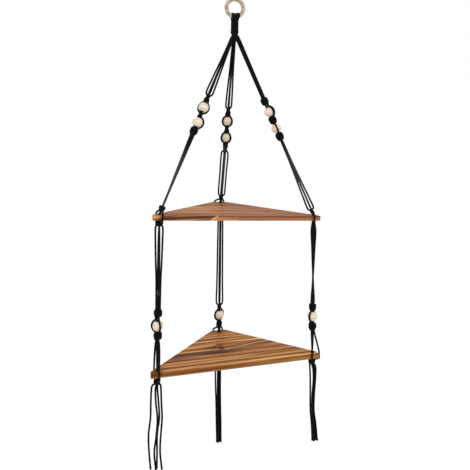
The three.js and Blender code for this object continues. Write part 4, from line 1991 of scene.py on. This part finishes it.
FRONT_TIP = {-0.2: AMBER, -0.05: HONEY, 0.05: OCHRE, 0.3: AMBER, 0.6: ORANGE}
FRONT_DARK = {
    -0.2: BROWN, -0.08: DARK, 0.02: BROWN, 0.1: ORANGE, 0.36: BROWN, 0.62: AMBER, 0.78: BROWN,
    0.95: AMBER,
}
FRONT_ORANGE = {
    -0.2: OCHRE, -0.1: ROSE, -0.02: BROWN, 0.08: ROSE, 0.36: AMBER, 0.66: ROSE, 0.8: BROWN,
    0.96: ROSE,
}
UPPER_LOOKS = {
    "1_left": stave_look(
        Zone(FRONT_TIP),
        Zone(FRONT_DARK, -0.186, 0.02),
        Zone(FRONT_ORANGE, -0.056, 0.008, 0.9),
    ),
    "1_right": stave_look(Zone(FRONT_ORANGE), Zone(FRONT_ORANGE, -0.004, 0.006, 0.7)),
    "2": stave_look(
        Zone({0.05: HONEY, 0.3: AMBER, 0.5: OCHRE, 0.68: DARK, 0.9: HONEY}),
        Zone({0.1: ROSE, 0.45: ROSE, 0.6: BROWN, 0.95: ROSE}),
    ),
    "3": stave_look(
        Zone({0.1: ROSE, 0.35: ROSE, 0.6: HONEY, 0.9: ROSE}),
        Zone({0.1: ROSE, 0.5: AMBER, 0.9: ROSE}, -0.03),
    ),
    "4": stave_look(
        Zone({0.1: ORANGE, 0.4: BROWN, 0.75: AMBER, 0.95: BROWN}),
        Zone({0.1: AMBER, 0.5: BROWN, 0.9: AMBER}),
    ),
    "5": stave_look(
        Zone({0.1: AMBER, 0.5: ORANGE, 0.8: BROWN}),
        Zone({0.1: AMBER, 0.5: BROWN, 0.8: AMBER}),
    ),
}
BURL = (-0.02, 0.018, 0.011)
LOWER_LOOKS = {
    "1": stave_look(
        Zone({-0.2: AMBER, -0.05: DARK, 0.08: BROWN, 0.4: AMBER}),
        Zone({
            -0.2: GOLD, -0.1: BROWN, -0.02: AMBER, 0.06: ORANGE, 0.2: PALE, 0.3: AMBER, 0.42: BROWN,
            0.57: ORANGE, 0.62: ORANGE, 0.7: PALE, 0.79: BROWN, 0.93: HONEY,
        }, -0.186, 0.02),
        Zone({
            -0.2: GOLD, -0.1: GOLD, -0.03: BROWN, 0.08: HONEY, 0.2: PALE, 0.32: AMBER, 0.44: BROWN,
            0.58: HONEY, 0.7: OCHRE, 0.84: BROWN, 0.97: ORANGE,
        }, 0.05),
    ),
    "2": stave_look(
        Zone({
            0.06: AMBER, 0.2: DARK, 0.34: ORANGE, 0.46: BROWN, 0.58: DARK, 0.86: DARK, 0.97: BROWN,
        }),
        Zone({
            0.06: AMBER, 0.21: DARK, 0.36: HONEY, 0.5: ROSE, 0.64: ORANGE, 0.78: BROWN,
            0.93: ORANGE,
        }, 0.02),
        burl=BURL,
    ),
    "3_left": stave_look(
        Zone({0.06: BROWN, 0.13: PALE, 0.26: ORANGE, 0.5: AMBER, 0.7: PALE, 0.9: BROWN}),
        Zone({
            0.02: BROWN, 0.13: HONEY, 0.25: BROWN, 0.4: UMBER, 0.56: DARK, 0.69: BROWN, 0.83: HONEY,
            0.95: BROWN,
        }, -0.075),
        burl=BURL,
    ),
    "3_right": stave_look(
        Zone({
            -0.7: ORANGE, -0.35: AMBER, -0.12: GREY, 0.1: GREY, 0.16: PALE, 0.22: DARK, 0.34: DARK,
            0.46: ROSE, 0.62: ORANGE, 0.75: AMBER,
        }),
        Zone({
            -0.7: ORANGE, -0.45: HONEY, -0.3: AMBER, -0.12: BROWN, 0.08: GREY, 0.16: PALE,
            0.24: BROWN, 0.5: AMBER,
        }, 0.06),
        lean=0.17,
        burl=BURL,
    ),
    "4": stave_look(
        Zone({
            0.08: ORANGE, 0.24: BROWN, 0.4: PALE, 0.52: BROWN, 0.72: DARK, 0.84: PALE, 0.96: AMBER,
        }),
        Zone({
            0.04: PALE, 0.2: BROWN, 0.34: ORANGE, 0.5: OCHRE, 0.62: DARK, 0.78: HONEY, 0.95: BROWN,
        }),
    ),
    "5": stave_look(
        Zone({0.05: AMBER, 0.2: HONEY, 0.36: BROWN, 0.6: ORANGE, 0.9: BROWN}),
        Zone({0.05: BROWN, 0.3: HONEY, 0.5: AMBER, 0.9: BROWN}),
    ),
}


@dataclass
class Studio:
    """Pale floor, soft lamps and the camera that matches the photograph."""

    floor_z: float = -1.62
    floor_radius: float = 12.0
    camera_place: tuple = (-0.3739, -1.3146, -0.2769)
    camera_yaw: float = 16.05
    camera_roll: float = 0.73
    focal_pixels: float = 538.5
    image_pixels: float = 470.0
    principal: tuple = (235.2, 110.4)
    ambient: float = 0.62
    floor_sides: int = 96
    floor_grey: float = 0.86
    floor_roughness: float = 0.9
    floor_glow: float = 1.06
    floor_white: float = 0.9

    def build(self) -> None:
        """Sets up the whole studio."""
        self.floor()
        self.lamps()
        self.world()
        self.camera()

    def floor(self) -> None:
        """Lays the floor, which shows white to the camera and keeps a little of the shadow."""
        shape = bmesh.new()
        matrix = Matrix.Translation((0, 0, self.floor_z))
        bmesh.ops.create_circle(
            shape, cap_ends=True, segments=self.floor_sides, radius=self.floor_radius, matrix=matrix
        )
        piece = new_piece("studio_floor", shape)
        graph = Graph("studio floor")
        graph.finish(
            Base_Color=(self.floor_grey,) * 3,
            Roughness=self.floor_roughness,
            Specular_IOR_Level=0.0,
        )
        seen = graph.add("ShaderNodeLightPath", output="Is Camera Ray") * self.floor_white
        light = {"Color": (1.0, 1.0, 1.0), "Strength": self.floor_glow}
        glow = graph.add("ShaderNodeEmission", {}, light)
        shader = Value(graph, graph.shader.outputs[0])
        mixed = graph.add("ShaderNodeMixShader", {}, {0: seen, 1: shader, 2: glow})
        output = graph.tree.nodes["Material Output"]
        graph.feed(output.inputs["Surface"], mixed)
        piece.data.materials.append(graph.material)

    def lamps(self) -> None:
        """Hangs three soft lamps round the shelf."""
        lamps = (
            ("key_lamp", (-1.6, -2.2, 1.1), 1.6, 42.0),
            ("fill_lamp", (2.1, -1.7, 0.1), 1.8, 22.0),
            ("back_lamp", (0.3, 2.4, 1.0), 1.8, 22.0),
        )
        goal = Vector((0, 0, -0.6))
        for name, place, size, power in lamps:
            data = bpy.data.lights.new(name, "AREA")
            data.shape = "DISK"
            data.size = size
            data.energy = power
            lamp = bpy.data.objects.new(name, data)
            lamp.location = place
            direction = goal - Vector(place)
            lamp.rotation_euler = direction.to_track_quat("-Z", "Y").to_euler()
            bpy.context.scene.collection.objects.link(lamp)

    def world(self) -> None:
        """Surrounds everything with plain white, full strength only for the camera and reflections."""
        world = bpy.data.worlds.new("studio_world")
        world.use_nodes = True
        bpy.context.scene.world = world
        nodes = Nodes(world.node_tree)
        seen = nodes.add("ShaderNodeLightPath", output="Is Camera Ray")
        mirrored = nodes.add("ShaderNodeLightPath", output="Is Glossy Ray")
        levels = {"Value": seen.larger(mirrored), "To Min": self.ambient, "To Max": 1.0}
        background = world.node_tree.nodes["Background"]
        nodes.feed(background.inputs["Color"], (1.0, 1.0, 1.0))
        nodes.feed(background.inputs["Strength"], nodes.add("ShaderNodeMapRange", {}, levels))

    def camera(self) -> None:
        """Places the camera where the photograph was taken from."""
        data = bpy.data.cameras.new("photo_camera")
        data.sensor_width = 36.0
        data.sensor_fit = "HORIZONTAL"
        data.lens = self.focal_pixels * data.sensor_width / self.image_pixels
        half = self.image_pixels / 2
        data.shift_x = (half - self.principal[0]) / self.image_pixels
        data.shift_y = (self.principal[1] - half) / self.image_pixels
        data.clip_start = 0.05
        data.clip_end = 60.0
        camera = bpy.data.objects.new("photo_camera", data)
        yaw = Matrix.Rotation(math.radians(-self.camera_yaw), 4, "Z")
        upright = Matrix.Rotation(math.radians(QUARTER_TURN), 4, "X")
        roll = Matrix.Rotation(math.radians(self.camera_roll), 4, "Z")
        camera.matrix_world = Matrix.Translation(self.camera_place) @ yaw @ upright @ roll
        bpy.context.scene.collection.objects.link(camera)
        bpy.context.scene.camera = camera


def main() -> None:
    """Builds the shelf's pieces in order and the studio round them."""
    logging.basicConfig(level=logging.INFO, format="%(message)s")
    bpy.context.scene.view_settings.view_transform = "Standard"
    upper = BoardPlace(BOARD.ring_to_upper, BOARD.upper_tilt)
    lower = BoardPlace(BOARD.ring_to_upper + BOARD.upper_to_lower, 0.0)
    cord_material = CordFinish().material()
    ring = HangRing()
    ring.dress(ring.build())
    log.info("ring turned")
    used = Crown(ring).build(cord_material)
    log.info("crown laid, %.2f m of cord", used)
    for name in LegName:
        used = Leg(name, upper, lower).build(cord_material)
        log.info("%s leg laid, %.2f m of cord above its loose ends", name.value, used)
    top = BOARD.ring_centre_z - BOARD.ring_to_upper
    fall = math.tan(math.radians(BOARD.upper_tilt))
    boards = (
        Board("upper_board", UPPER_LOOKS, top, fall, seed=3.1),
        Board("lower_board", LOWER_LOOKS, top - BOARD.upper_to_lower, fall=0.0, seed=8.4),
    )
    for board in boards:
        board.dress()
        log.info("%s dressed", board.name)
    Studio().build()
    log.info("studio set up")


if __name__ == "__main__":
    main()
